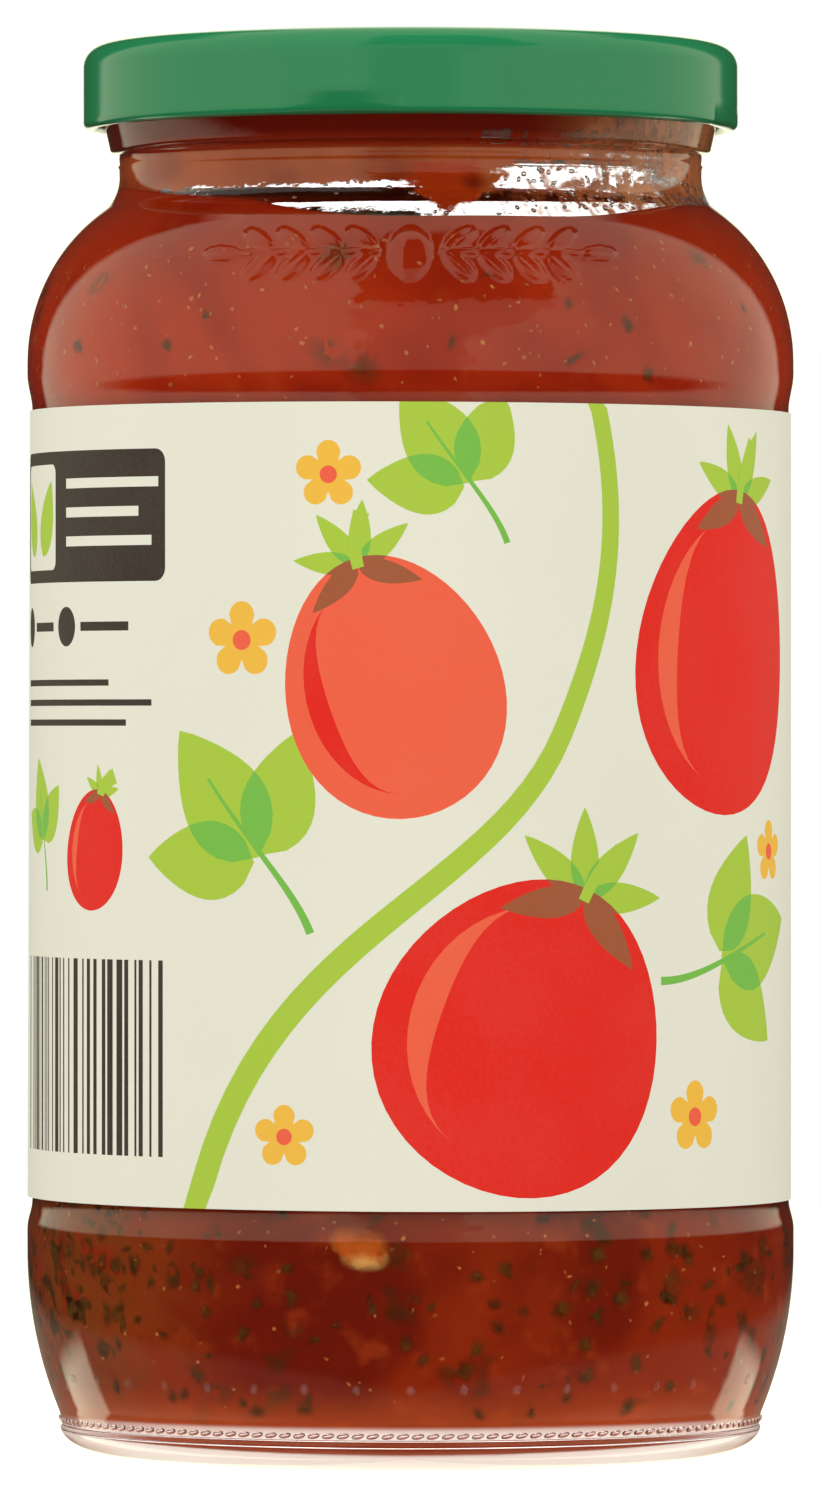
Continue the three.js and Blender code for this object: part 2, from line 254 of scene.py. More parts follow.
def turned(name, profile, facets, gather, finish):
    path = bpy.data.curves.new(name, "CURVE")
    path.dimensions = "3D"
    spline = path.splines.new("POLY")
    spline.points.add(len(profile) - 1)
    for place, (r, z) in zip(spline.points, profile):
        place.co = ((r - body_radius) * MM, -z * MM, 0, 1)
    draft = linked(name + "_profile", path)
    sizes = {"Facets": facets, "Guide radius": body_radius * MM, "Gather": gather, "Finish": finish}
    mesh = grown(draft, turning, sizes)
    bpy.data.objects.remove(draft)
    return mesh


def points_of(mesh):
    """The mesh's points in millimetres, and their radius, height and azimuth from the front towards +X."""
    points = np.empty(len(mesh.vertices) * 3)
    mesh.vertices.foreach_get("co", points)
    points = points.reshape(-1, 3) / MM
    return points, np.hypot(points[:, 0], points[:, 1]), points[:, 2], np.arctan2(points[:, 0], -points[:, 1])


def set_points(mesh, r, z, azimuth):
    points = np.stack([r * np.sin(azimuth), -r * np.cos(azimuth), z], axis=1) * MM
    mesh.vertices.foreach_set("co", points.ravel())
    mesh.update()


def wall_spot(r, azimuth, z):
    """A point in metres, from its radius, its azimuth and its height."""
    return Vector((r * math.sin(azimuth), -r * math.cos(azimuth), z)) * MM


def piece(name, mesh, replaced=None):
    """Puts a finished mesh into the scene as a piece of the jar."""
    mesh.name = name
    mesh.shade_smooth()
    made = linked(name, mesh)
    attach(made, "root")
    if replaced:
        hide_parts(replaced)


def new_finish(name):
    """An empty material, its node tree and the Object coordinates."""
    material = bpy.data.materials.new(name)
    material.use_nodes = True
    tree = material.node_tree
    tree.nodes.clear()
    place = tree.nodes.new("ShaderNodeTexCoord").outputs["Object"]
    return material, tree, place


def coat(tree, values):
    """A Principled surface from its inputs."""
    return node(tree, "ShaderNodeBsdfPrincipled", values).outputs[0]


def show(tree, surface):
    """Links a surface to the material's output."""
    node(tree, "ShaderNodeOutputMaterial", {"Surface": surface})


def noise_at(tree, place, scale, detail):
    """Noise of a material, by the Object coordinates."""
    values = {"Vector": place, "Scale": scale, "Detail": detail}
    return node(tree, "ShaderNodeTexNoise", values).outputs["Fac"]


def attribute(tree, name, output="Fac"):
    """A mesh attribute that a material reads."""
    return node(tree, "ShaderNodeAttribute", attribute_name=name).outputs[output]


def bumped(tree, height, strength, depth):
    """A normal that is roughened by a height, with its depth in millimetres."""
    values = {"Height": height, "Strength": strength, "Distance": depth * MM}
    return node(tree, "ShaderNodeBump", values).outputs[0]


def lets_light_through(tree, surface, clear_colour, unseen):
    """Shows a surface, and lets light straight through it by the share that is unseen."""
    clear = node(tree, "ShaderNodeBsdfTransparent", {"Color": clear_colour})
    show(tree, node(tree, "ShaderNodeMixShader", {0: unseen, 1: surface, 2: clear.outputs[0]}).outputs[0])


def clear_glass(name, wave, faint):
    """Clear glass with slow waves from the mould. Lamps shine through, and a faint mark shows the wall."""
    material, tree, place = new_finish(name)
    slow, fine = noise_at(tree, place, 140.0, 1.0), noise_at(tree, place, 900.0, 2.0)
    waves = bumped(tree, maths(tree, "MULTIPLY_ADD", slow, 5.0, fine), wave, 0.1)
    glass = coat(
        tree,
        {
            "Base Color": (0.97, 0.99, 0.98, 1),
            "Roughness": 0.0,
            "IOR": 1.5,
            "Transmission Weight": 1.0,
            "Normal": waves,
        },
    )
    rays = node(tree, "ShaderNodeLightPath")
    unseen = maths(tree, "MAXIMUM", rays.outputs["Is Shadow Ray"], faint)
    lets_light_through(tree, glass, (0.96, 0.98, 0.97, 1), unseen)
    return material


sprig_z, sprig_first, sprig_step, sprig_pairs = 133, 3.6, 3.9, 4
leaf_length, leaf_width, leaf_lean = 4.8, 2.3, math.radians(44)
stem_width, boss_length, boss_width, relief = 1.1, 7, 4.8, 0.7
thread_ridges, ridge_first, ridge_span, ridge_drop = 4, math.radians(-2), math.radians(66), 2.2
ridge_start, ridge_width, ridge_height = 2.6, 1.6, 1.8


def leaf_height(along, above, middle, length, width, lean, vein):
    """Height of a raised leaf over points of the shoulder, with a pressed midrib where vein is above 0."""
    u = (along - middle[0]) * math.cos(lean) + (above - middle[1]) * math.sin(lean)
    v = (above - middle[1]) * math.cos(lean) - (along - middle[0]) * math.sin(lean)
    far = (2 * u / length) ** 2 + (2 * v / width) ** 2
    crown = np.sqrt(np.clip(1 - far, 0, 1))
    return crown * (1 - vein * np.exp(-((v / 0.22) ** 2)))


def sprig_height(along, above):
    """Two stems run out from an oval boss, each with pairs of leaves and one leaf at its end."""
    out, up = leaf_length / 2 * math.cos(leaf_lean), leaf_length / 2 * math.sin(leaf_lean)
    shapes = [((0, 0), boss_length, boss_width, math.pi / 2, 0.0)]
    for side in (-1, 1):
        for i in range(sprig_pairs):
            first = sprig_first + sprig_step * i
            shapes.append(((side * (first + sprig_step / 2), 0), sprig_step * 1.3, stem_width, 0.0, 0.0))
            for lift in (-1, 1):
                middle = (side * (first + out), lift * up)
                shapes.append((middle, leaf_length, leaf_width, side * lift * leaf_lean, 0.45))
        end = sprig_first + sprig_step * sprig_pairs + leaf_length / 2
        shapes.append(((side * end, 0), leaf_length, leaf_width, 0.0, 0.45))
    heights = [leaf_height(along, above, *shape) for shape in shapes]
    return relief * np.max(heights, axis=0)


turning = turning_tree()
flint_glass = clear_glass("flint_glass", 0.06, 0.0)
jar_mesh = turned("glass_jar", jar_profile(), 512, 0.5, flint_glass)
points, r, z, azimuth = points_of(jar_mesh)
slope = np.arctan2(z - shoulder_centre[1], r - shoulder_centre[0])
on_shoulder = np.abs(np.hypot(r - shoulder_centre[0], z - shoulder_centre[1]) - shoulder_arc) < 0.01
above_stem = (slope - math.asin((sprig_z - shoulder_z) / shoulder_arc)) * shoulder_arc
raised = np.where(on_shoulder & (slope > 0), sprig_height(azimuth * r, above_stem), 0)
on_thread = (np.abs(r - finish_radius) < 0.01) & (z > ring_top + 0.5)
ridges = np.zeros_like(r)
for i in range(thread_ridges):
    share = ((azimuth - ridge_first - i * math.tau / thread_ridges) % math.tau) / ridge_span
    middle = lip_top - ridge_start - ridge_drop * share
    crest = np.clip(1 - (2 * (z - middle) / ridge_width) ** 2, 0, 1)
    ends = np.clip(np.minimum(share, 1 - share) * 12, 0, 1)
    ridges = np.maximum(ridges, ridge_height * crest * ends)
r_moved = r + raised * np.cos(slope) + np.where(on_thread, ridges, 0)
set_points(jar_mesh, r_moved, z + raised * np.sin(slope), azimuth)
piece("glass_jar", jar_mesh, "jar")

# Mould marks
# Small raised marks of the same glass: an even row of dots above the heel, and the short teeth round the heel
# that lift a hot jar off the belt. The mould leaves them, and here they are low domes set into the wall.
tooth_count, tooth_z, tooth_size, tooth_slant = 150, 4.2, (1.5, 0.62, 0.28), 0.2
dot_count, dot_z, dot_size = 44, 9.3, (1.2, 1.2, 0.016)


def mark_tree():
    """Low domes in a ring round the axis, each turned to face outwards and leaning with the wall."""
    tree, given = new_tree(
        "marks_in_a_ring",
        {
            "Carrier": "Geometry",
            "Count": "Int",
            "Radius": "Float",
            "Height": "Float",
            "Lean": "Float",
            "Slant": "Float",
            "Size": "Vector",
            "Finish": "Material",
        },
    )
    round_wall = {"Resolution": given["Count"], "Radius": given["Radius"]}
    ring = node(tree, "GeometryNodeCurvePrimitiveCircle", round_wall)
    lifted = node(
        tree,
        "GeometryNodeSetPosition",
        {
            "Geometry": ring.outputs["Curve"],
            "Offset": node(tree, "ShaderNodeCombineXYZ", {"Z": given["Height"]}).outputs[0],
        },
    )
    ball = node(tree, "GeometryNodeMeshUVSphere", {"Segments": 10, "Rings": 6, "Radius": 0.5})
    step = maths(tree, "DIVIDE", 2 * math.pi, given["Count"])
    spin = maths(tree, "MULTIPLY", node(tree, "GeometryNodeInputIndex").outputs[0], step)
    face = node(tree, "ShaderNodeCombineXYZ", {"X": given["Slant"], "Y": given["Lean"], "Z": spin})
    marks = node(
        tree,
        "GeometryNodeInstanceOnPoints",
        {
            "Points": lifted.outputs[0],
            "Instance": ball.outputs["Mesh"],
            "Rotation": face.outputs[0],
            "Scale": given["Size"],
        },
    )
    end_tree(tree, marks.outputs[0], given["Finish"])
    return tree


def mark_ring(name, count, height, size, lean, slant, radius, finish):
    seed = linked(name + "_seed", bpy.data.meshes.new(name + "_seed"))
    values = {
        "Count": count,
        "Radius": radius * MM,
        "Height": height * MM,
        "Lean": lean,
        "Slant": slant,
        "Size": (2 * size[2] * MM, size[0] * MM, size[1] * MM),
        "Finish": finish,
    }
    mesh = grown(seed, marks_in_a_ring, values)
    bpy.data.objects.remove(seed)
    piece(name, mesh)


def lower_outside(z):
    """Radius of the outer wall between the heel and the lower ring."""
    return lower_centre[0] + math.sqrt(lower_arc**2 - (z - lower_centre[1]) ** 2)


marks_in_a_ring = mark_tree()
dot_lean = math.asin((lower_ring_z - dot_z) / lower_arc)
worn_glass = clear_glass("worn_glass", 0.06, 0.8)
tooth_radius, dot_radius = heel_radius - 0.12, lower_outside(dot_z) - 0.004
mark_ring("heel_teeth", tooth_count, tooth_z, tooth_size, 0.0, tooth_slant, tooth_radius, flint_glass)
mark_ring("mould_dots", dot_count, dot_z, dot_size, dot_lean, 0.0, dot_radius, worn_glass)

# Sauce
# Cooked tomato sauce, filled hot up to the neck. It climbs at both sides, most on the left. It wets the
# glass, so no air shows between them: the piece reaches a little into the wall. Herb and pulp mottle it.
sauce_reach = 0.15
sauce_level, sauce_tilt, sauce_climb = 136.3, 0.045, 0.0027
sauce_ripple, sauce_wave, sauce_turn = 0.3, 36, 132.5
heap_place = (-0.036, -0.018, 0.022)  # in metres


def level_at(x, y):
    """Height of the sauce's surface, which climbs at both sides, most on the left, with a few slow waves."""
    turn = 2 * math.pi / sauce_wave
    ripple = sauce_ripple * np.sin(x * turn) * np.cos(y * turn)
    return sauce_level - sauce_tilt * x + sauce_climb * x**2 + ripple


def blend_colours(tree, share, first, second):
    return node(
        tree, "ShaderNodeMix", {"Factor": share, "A": first, "B": second}, data_type="RGBA"
    ).outputs["Result"]


def clamped(tree, value, low, high):
    """Maps a range of a value onto 0 to 1, with soft ends."""
    return node(
        tree,
        "ShaderNodeMapRange",
        {"Value": value, "From Min": low, "From Max": high},
        interpolation_type="SMOOTHSTEP",
    ).outputs["Result"]


def sauce_finish():
    material, tree, place = new_finish("tomato_sauce")
    swirls = {"Vector": place, "Scale": 45.0, "Detail": 2.0, "Distortion": 0.8}
    cloud = node(tree, "ShaderNodeTexNoise", swirls).outputs["Fac"]
    pulp, herb = noise_at(tree, place, 260.0, 3.0), noise_at(tree, place, 210.0, 1.0)
    height = node(tree, "ShaderNodeSeparateXYZ", {"Vector": place}).outputs["Z"]
    low_down = clamped(tree, height, 0.1, 0.03)
    light = blend_colours(tree, low_down, (0.34, 0.024, 0.004, 1), (0.2, 0.016, 0.003, 1))
    deep = blend_colours(tree, low_down, (0.25, 0.012, 0.003, 1), (0.115, 0.0065, 0.002, 1))
    red = blend_colours(tree, clamped(tree, cloud, 0.36, 0.66), deep, light)
    soft_pulp = maths(tree, "MULTIPLY", clamped(tree, pulp, 0.52, 0.78), 0.45)
    orange = blend_colours(tree, soft_pulp, red, (0.33, 0.042, 0.007, 1))
    # herb clouds the sauce brown where it settled, low on the left
    heap = vector_maths(tree, "DISTANCE", place, heap_place, output="Value")
    settled = clamped(tree, heap, 0.028, 0.004)
    browned = maths(tree, "MULTIPLY", settled, clamped(tree, pulp, 0.28, 0.52))
    brown = blend_colours(tree, browned, orange, (0.15, 0.03, 0.005, 1))
    dark_share = maths(tree, "MULTIPLY", clamped(tree, herb, 0.62, 0.76), low_down)
    mottled = blend_colours(tree, maths(tree, "MULTIPLY", dark_share, 0.75), brown, (0.03, 0.014, 0.003, 1))
    # painted light: the sauce is painted oranger in its lower edge and pale under it, for light from the
    # table that glows there and floods the thick glass of the foot
    painted_table_glow = maths(tree, "MULTIPLY", clamped(tree, height, 0.0105, 0.0052), 0.5)
    glowing = blend_colours(tree, painted_table_glow, mottled, (0.4, 0.06, 0.01, 1))
    # painted light: the sauce under the foot is painted pale pink where the table's light floods the glass
    under = maths(tree, "MULTIPLY", clamped(tree, height, 0.0057, 0.0046), 0.85)
    flooded = blend_colours(tree, under, glowing, (0.85, 0.76, 0.7, 1))
    show(tree, coat(tree, {"Base Color": flooded, "Roughness": 0.5, "Specular IOR Level": 0.0}))
    return material


sauce_sides = [p for p in inside_profile(-sauce_reach) if p[1] < sauce_turn]
rim = float(neck_inside(sauce_level)) + sauce_reach
climb = [(float(neck_inside(z)) + sauce_reach, z) for z in np.linspace(sauce_turn, sauce_level, 14)[:-1]]
surface = [(rim * share, sauce_level) for share in np.linspace(1, 0, 16)]
tomato_sauce = sauce_finish()
sauce_mesh = turned("sauce_body", [*sauce_sides, *climb, *surface], 256, 0.3, tomato_sauce)
points, r, z, azimuth = points_of(sauce_mesh)
level = level_at(points[:, 0], points[:, 1])
rising = z > sauce_turn - 1e-4
share = (z - sauce_turn) / (sauce_level - sauce_turn)
z_moved = np.where(rising, sauce_turn + share * (level - sauce_turn), z)
inwards = np.where(z > sauce_level - 1e-4, r / rim, 1)
r_moved = np.where(rising, (neck_inside(z_moved) + sauce_reach) * inwards, r)
set_points(sauce_mesh, r_moved, z_moved, azimuth)
piece("sauce_body", sauce_mesh, "sauce")

# Herb and pulp in the sauce
# Cooked herb flecks, larger bits of basil and pale bits of pulp and seed that lie against the bare glass.
# Most of the herb is low in the jar where it settled. Each is a thin flake whose rim melts into the sauce.
flake_sides = 12
bits_low, bits_high, bits_inner = 7, 134, neck_inside(141.0) - 1
label_cover, settled_top, settled_depth = 1.5, 34, 14
heap_middle, heap_size = (math.radians(-68), 21), (0.42, 7)


def flake_mesh(name):
    """A low round flake one unit across, with an attribute that falls to 0 at its rim."""
    rings = [(0.0, 0.5, 1.0), (0.25, 0.4, 0.5), (0.5, 0.0, 0.0)]
    verts, melt = [(0, 0, rings[0][1])], [rings[0][2]]
    for radius, up, share in rings[1:]:
        for i in range(flake_sides):
            turn = math.tau * i / flake_sides
            verts.append((radius * math.cos(turn), radius * math.sin(turn), up))
            melt.append(share)
    faces = []
    for i in range(flake_sides):
        a, b = 1 + i, 1 + (i + 1) % flake_sides
        faces += [(0, a, b), (a, a + flake_sides, b + flake_sides, b)]
    faces.append([flake_sides * 2 - i for i in range(flake_sides)])
    mesh = bpy.data.meshes.new(name)
    mesh.from_pydata(verts, [], faces)
    mesh.attributes.new("melt", "FLOAT", "POINT").data.foreach_set("value", melt)
    return mesh


def scatter_tree():
    """Strews copies of a bit over a carrier, as thick as its share attribute says, and frays each of them."""
    tree, given = new_tree(
        "strewn_bits",
        {
            "Carrier": "Geometry",
            "Bit": "Object",
            "Density": "Float",
            "Seed": "Int",
            "Smallest": "Vector",
            "Largest": "Vector",
            "Fray": "Float",
            "Finish": "Material",
        },
    )
    share = node(tree, "GeometryNodeInputNamedAttribute", {"Name": "share"}, data_type="FLOAT")
    density = maths(tree, "MULTIPLY", share.outputs["Attribute"], given["Density"])
    spots = node(
        tree,
        "GeometryNodeDistributePointsOnFaces",
        {"Mesh": given["Carrier"], "Density": density, "Seed": given["Seed"]},
    )
    bit = node(tree, "GeometryNodeObjectInfo", {"Object": given["Bit"]})
    size = node(
        tree,
        "FunctionNodeRandomValue",
        {"Min": given["Smallest"], "Max": given["Largest"], "Seed": given["Seed"]},
        data_type="FLOAT_VECTOR",
    )
    placed = node(
        tree,
        "GeometryNodeInstanceOnPoints",
        {
            "Points": spots.outputs["Points"],
            "Instance": bit.outputs["Geometry"],
            "Rotation": spots.outputs["Rotation"],
            "Scale": size.outputs["Value"],
        },
    )
    spin = node(
        tree,
        "FunctionNodeRandomValue",
        {"Max": (0.0, 0.0, math.tau), "Seed": given["Seed"]},
        data_type="FLOAT_VECTOR",
    )
    spun = {"Instances": placed.outputs[0], "Rotation": spin.outputs["Value"]}
    turned_bits = node(tree, "GeometryNodeRotateInstances", spun)
    real = node(tree, "GeometryNodeRealizeInstances", {"Geometry": turned_bits.outputs[0]})
    ragged = node(tree, "ShaderNodeTexNoise", {"Scale": 900.0, "Detail": 1.0})
    middle = vector_maths(tree, "SUBTRACT", ragged.outputs["Color"], (0.5, 0.5, 0.5))
    shift = node(tree, "ShaderNodeVectorMath", {0: middle, "Scale": given["Fray"]}, operation="SCALE")
    frayed = node(tree, "GeometryNodeSetPosition", {"Geometry": real.outputs[0], "Offset": shift.outputs[0]})
    end_tree(tree, frayed.outputs[0], given["Finish"])
    return tree


def strewn(name, carrier, share, bit, density, seed, smallest, largest, fray, finish):
    """A piece made of bits strewn over a carrier's mesh, with sizes in millimetres."""
    draft = linked(name + "_carrier", carrier.copy())
    draft.data.attributes.new("share", "FLOAT", "POINT").data.foreach_set("value", share)
    seed_bit = linked(name + "_bit", bit)
    values = {
        "Bit": seed_bit,
        "Density": density,
        "Seed": seed,
        "Smallest": tuple(c * MM for c in smallest),
        "Largest": tuple(c * MM for c in largest),
        "Fray": fray * MM,
        "Finish": finish,
    }
    mesh = grown(draft, strewn_bits, values)
    bpy.data.objects.remove(draft)
    bpy.data.objects.remove(seed_bit)
    piece(name, mesh)


def melting_finish(name, dark, light, rough, opaque):
    """A wet bit seen through a skin of sauce: mottled between two colours, and clear at its rim."""
    material, tree, place = new_finish(name)
    grain = noise_at(tree, place, 700.0, 2.0)
    colour = blend_colours(tree, clamped(tree, grain, 0.35, 0.65), dark, light)
    uneven = maths(tree, "MULTIPLY_ADD", grain, 0.7, attribute(tree, "melt"))
    shown = maths(tree, "MULTIPLY", clamped(tree, uneven, 0.3, 1.5), opaque)
    look = {"Base Color": colour, "Roughness": rough, "Specular IOR Level": 0.0, "Alpha": shown}
    show(tree, coat(tree, look))
    return material


def bump_at(azimuth, z, middle, size):
    """A soft spot on the wall, 1 at its middle, by azimuth in radians and height in millimetres."""
    return np.exp(-(((azimuth - middle[0]) / size[0]) ** 2) - ((z - middle[1]) / size[1]) ** 2)


def mesh_of(shape, name):
    """A mesh made from a bmesh, which is freed."""
    mesh = bpy.data.meshes.new(name)
    shape.to_mesh(mesh)
    shape.free()
    return mesh


def sauce_skin():
    """The sauce's surface with rows added at the label's edges, so that no bits lie behind the label."""
    rows = [panel_bottom + up for up in (-3.6, -1.6, 0.4, 2.4)]
    rows += [panel_top + up for up in (-2.4, -0.4, 2.6)]
    shape = bmesh.new()
    shape.from_mesh(sauce_mesh)
    for row in rows:
        whole = [*shape.verts, *shape.edges, *shape.faces]
        bmesh.ops.bisect_plane(shape, geom=whole, plane_co=(0, 0, row * MM), plane_no=(0, 0, 1))
    return mesh_of(shape, "sauce_skin")


strewn_bits = scatter_tree()
skin = sauce_skin()
points, r, z, azimuth = points_of(skin)
by_wall = (r > bits_inner) & (z > bits_low) & (z < bits_high)
bare_glass = (z < panel_bottom + label_cover) | (z > panel_top - label_cover)
low_share = np.clip((settled_top - z) / settled_depth, 0, 1)
left_heap = bump_at(azimuth, z, heap_middle, heap_size)
herb_share = by_wall * bare_glass * (0.045 + 0.4 * low_share + 4.2 * left_heap)
leaf_share = by_wall * bare_glass * (0.1 + 0.1 * low_share)
pulp_share = by_wall * bare_glass * (2.0 - 1.5 * low_share)
herb_finish = melting_finish("herb", (0.035, 0.015, 0.003, 1), (0.075, 0.028, 0.004, 1), 0.5, 0.85)
leaf_finish = melting_finish("basil", (0.06, 0.017, 0.003, 1), (0.1, 0.026, 0.004, 1), 0.5, 0.6)
pulp_finish = melting_finish("pulp", (0.42, 0.08, 0.012, 1), (0.56, 0.19, 0.05, 1), 0.4, 0.75)
# name, share, bits for each square metre, seed, smallest and largest size, fray and finish
kinds = [
    ("herb_flecks", herb_share, 100000.0, 4, (0.9, 0.8, 0.25), (3.4, 3.0, 0.4), 1.0, herb_finish),
    ("basil_bits", leaf_share, 30000.0, 23, (3.0, 2.4, 0.25), (6.0, 5.0, 0.4), 1.8, leaf_finish),
    ("pulp_bits", pulp_share, 60000.0, 11, (0.3, 0.3, 0.22), (1.0, 0.8, 0.26), 0.3, pulp_finish),
]
for name, share, *values in kinds:
    strewn(name, skin, share, flake_mesh(name + "_flake"), *values)

# Tomato piece
# One soft lump of tomato, orange with a paler lower side, that lies against the glass below the label.
# It is sunk in the sauce and only its face shows.
lump_azimuth, lump_z, lump_size = math.radians(-7.6), 25.0, (4.4, 2.2, 3.3)
lump_sunk, lump_melt = 1.2, 0.6


def lump_mesh():
    shape = bmesh.new()
    bmesh.ops.create_icosphere(shape, subdivisions=5, radius=1.0)
    wall_r = body_radius - wall + sauce_reach
    melt = []
    for vert in shape.verts:
        swell = 1 + 0.22 * noise.noise(vert.co * 1.1) + 0.05 * noise.noise(vert.co * 4.0)
        x, y, up = (c * swell * s for c, s in zip(vert.co, lump_size))
        far = wall_r - lump_sunk - y
        melt.append((far - wall_r) / lump_melt)
        vert.co = wall_spot(far, lump_azimuth + x / wall_r, lump_z + up)
    ball = mesh_of(shape, "tomato_piece")
    ball.attributes.new("melt", "FLOAT", "POINT").data.foreach_set("value", melt)
    return ball


def lump_finish():
    material, tree, place = new_finish("tomato_flesh")
    grain = noise_at(tree, place, 380.0, 3.0)
    height = node(tree, "ShaderNodeSeparateXYZ", {"Vector": place}).outputs["Z"]
    uneven = maths(tree, "MULTIPLY_ADD", grain, 0.003, height)
    pale = clamped(tree, uneven, (lump_z + 1.2) * MM, (lump_z - 0.6) * MM)
    flesh = blend_colours(tree, pale, (0.4, 0.075, 0.009, 1), (0.6, 0.3, 0.08, 1))
    mottled = blend_colours(tree, clamped(tree, grain, 0.55, 0.75), flesh, (0.3, 0.04, 0.006, 1))
    shown = clamped(tree, attribute(tree, "melt"), 0.0, 1.7)
    look = {"Base Color": mottled, "Roughness": 0.4, "Specular IOR Level": 0.0, "Alpha": shown}
    show(tree, coat(tree, look))
    return material


lump = lump_mesh()
lump.materials.append(lump_finish())
piece("tomato_piece", lump)

# Neck smear
# Sauce that splashed up inside the neck when the jar was filled and turned: a brown film that clings to the
# glass, thick on the left and torn on the right, with one thick drip at the front and clear glass below it.
smear_columns, smear_low, smear_high, smear_step = 540, 135.4, 153.5, 0.3
# middle of the drip's painted shade, in metres
drip_shade_spot = (0.0066, -0.0292, 0.1404)
smear_sunk, smear_thin, smear_thick, least_cover = 0.06, 0.05, 0.45, 0.02
# azimuths and their reaches are in degrees here
torn_azimuth, torn_reach, tatter_z, tatter_reach = 58, 30, 140.0, 1.1
gap_azimuth, gap_reach, gap_z, gap_height = 42, 34, 146.5, 0.9
drip_azimuth, drip_lean, drip_z, drip_height = 8.5, 0.6, 140.2, 3.0
film_edge = [  # azimuth and height of the film's lower edge
    (-180, 143.4), (-150, 142.4), (-125, 141.0), (-95, 139.0), (-75, 139.2), (-57, 139.8),
    (-40, 140.2), (-22, 140.2), (0, 140.6), (14, 141.6), (24, 143.6), (40, 143.8), (58, 143.0),
    (75, 141.0), (95, 140.0), (110, 145.5), (140, 147.5), (165, 146.5), (180, 143.4),
]


def fractal_at(azimuth, z, stretch, seed):
    """Smooth seeded noise on the neck wall, without a seam at the back."""
    spot = Vector((math.sin(azimuth) * stretch[0], math.cos(azimuth) * stretch[0], z * stretch[1] + seed))
    return noise.fractal(spot, 0.9, 2.1, 4)


def film_cover(azimuth, z):
    """How thickly the film and its drip cover a spot of the neck, from 0 for clear glass to 1."""
    turn = math.degrees(azimuth)
    edge = np.interp(turn, *zip(*film_edge))
    torn = 0.5 * fractal_at(azimuth, z, (16, 0.9), 3.0) + 0.45 * fractal_at(azimuth, z, (60, 2.4), 5.0)
    film = (z - edge - torn) / 0.7
    right = math.exp(-(((turn - torn_azimuth) / torn_reach) ** 2))
    streaks = right * (0.05 + 1.5 * fractal_at(azimuth, z, (34, 0.35), 21.0))
    near_tatters = 0.9 - abs(z - tatter_z) / tatter_reach
    tatters = right * (near_tatters + 1.3 * fractal_at(azimuth, z, (30, 0.8), 8.0))
    thin = 0.4 + 0.5 * min(1, max(0, (0.9 - right) * 2)) + 0.35 * fractal_at(azimuth, z, (24, 0.8), 40.0)
    gap = math.exp(-(((turn - gap_azimuth) / gap_reach) ** 2) - ((z - gap_z) / gap_height) ** 2)
    tear = min(0.7, gap * (1.0 + 2.2 * fractal_at(azimuth, z, (26, 0.5), 61.0)))
    lean = turn - drip_azimuth - drip_lean * (z - tatter_z)
    lobe = (lean / (5.4 + 1.2 * (z - 138.5))) ** 2 + ((z - drip_z) / drip_height) ** 2
    drip = 1.5 - lobe + 1.3 * torn
    specks = right * (1.5 * fractal_at(azimuth, z, (70, 2.6), 33.0) - 0.1)
    whole = 1 - tear
    cover = max(min(film, thin, whole), min(streaks, whole), min(tatters, 0.8), min(specks, 0.5), drip)
    return min(1.0, max(0.0, cover)), min(1.0, max(0.0, drip))


def thick_sheet(name, outer, inner, faces):
    """A closed sheet from the faces of its outer side and matching points of its inner side."""
    count = len(outer)
    edges = {edge: True for face in faces for edge in zip(face, face[1:] + face[:1])}
    rims = [(a, b) for a, b in edges if (b, a) not in edges]
    backs = [tuple(count + i for i in reversed(face)) for face in faces]
    sides = [(b, a, a + count, b + count) for a, b in rims]
    mesh = bpy.data.meshes.new(name)
    mesh.from_pydata([*outer, *inner], [], [*faces, *backs, *sides])
    return mesh


def smear_mesh():
    heights = np.arange(smear_low, smear_high, smear_step)
    rows = len(heights)
    outer, inner, cover, thick = [], [], [], []
    for i in range(smear_columns):
        azimuth = math.tau * i / smear_columns - math.pi
        for z in heights:
            share, drip = film_cover(azimuth, z)
            wall_r = float(neck_inside(z))
            outer.append(wall_spot(wall_r + smear_sunk, azimuth, z))
            inner.append(wall_spot(wall_r - smear_thin - smear_thick * share, azimuth, z))
            cover.append(share)
            thick.append(drip)
    grid = np.array(cover).reshape(smear_columns, rows)
    pairs = np.maximum(grid, np.roll(grid, -1, 0))
    cells = np.maximum(pairs[:, :-1], pairs[:, 1:]) > least_cover
    # a cell is filled in wherever two others would touch only at a corner
    before = np.roll(cells, 1, 0)
    rising = cells[:, 1:] & before[:, :-1] & ~before[:, 1:] & ~cells[:, :-1]
    falling = before[:, 1:] & cells[:, :-1] & ~cells[:, 1:] & ~before[:, :-1]
    cells[:, :-1] |= rising
    cells[:, 1:] |= falling
    faces = []
    for i, j in np.argwhere(cells).tolist():
        a, b = i * rows + j, ((i + 1) % smear_columns) * rows + j
        faces.append((a, b, b + 1, a + 1))
    used = sorted({c for face in faces for c in face})
    place = {c: i for i, c in enumerate(used)}
    mesh = thick_sheet(
        "neck_smear",
        [outer[c] for c in used],
        [inner[c] for c in used],
        [tuple(place[c] for c in face) for face in faces],
    )
    for name, values in (("cover", cover), ("drip", thick)):
        kept = [values[c] for c in used]
        mesh.attributes.new(name, "FLOAT", "POINT").data.foreach_set("value", kept + kept)
    return mesh


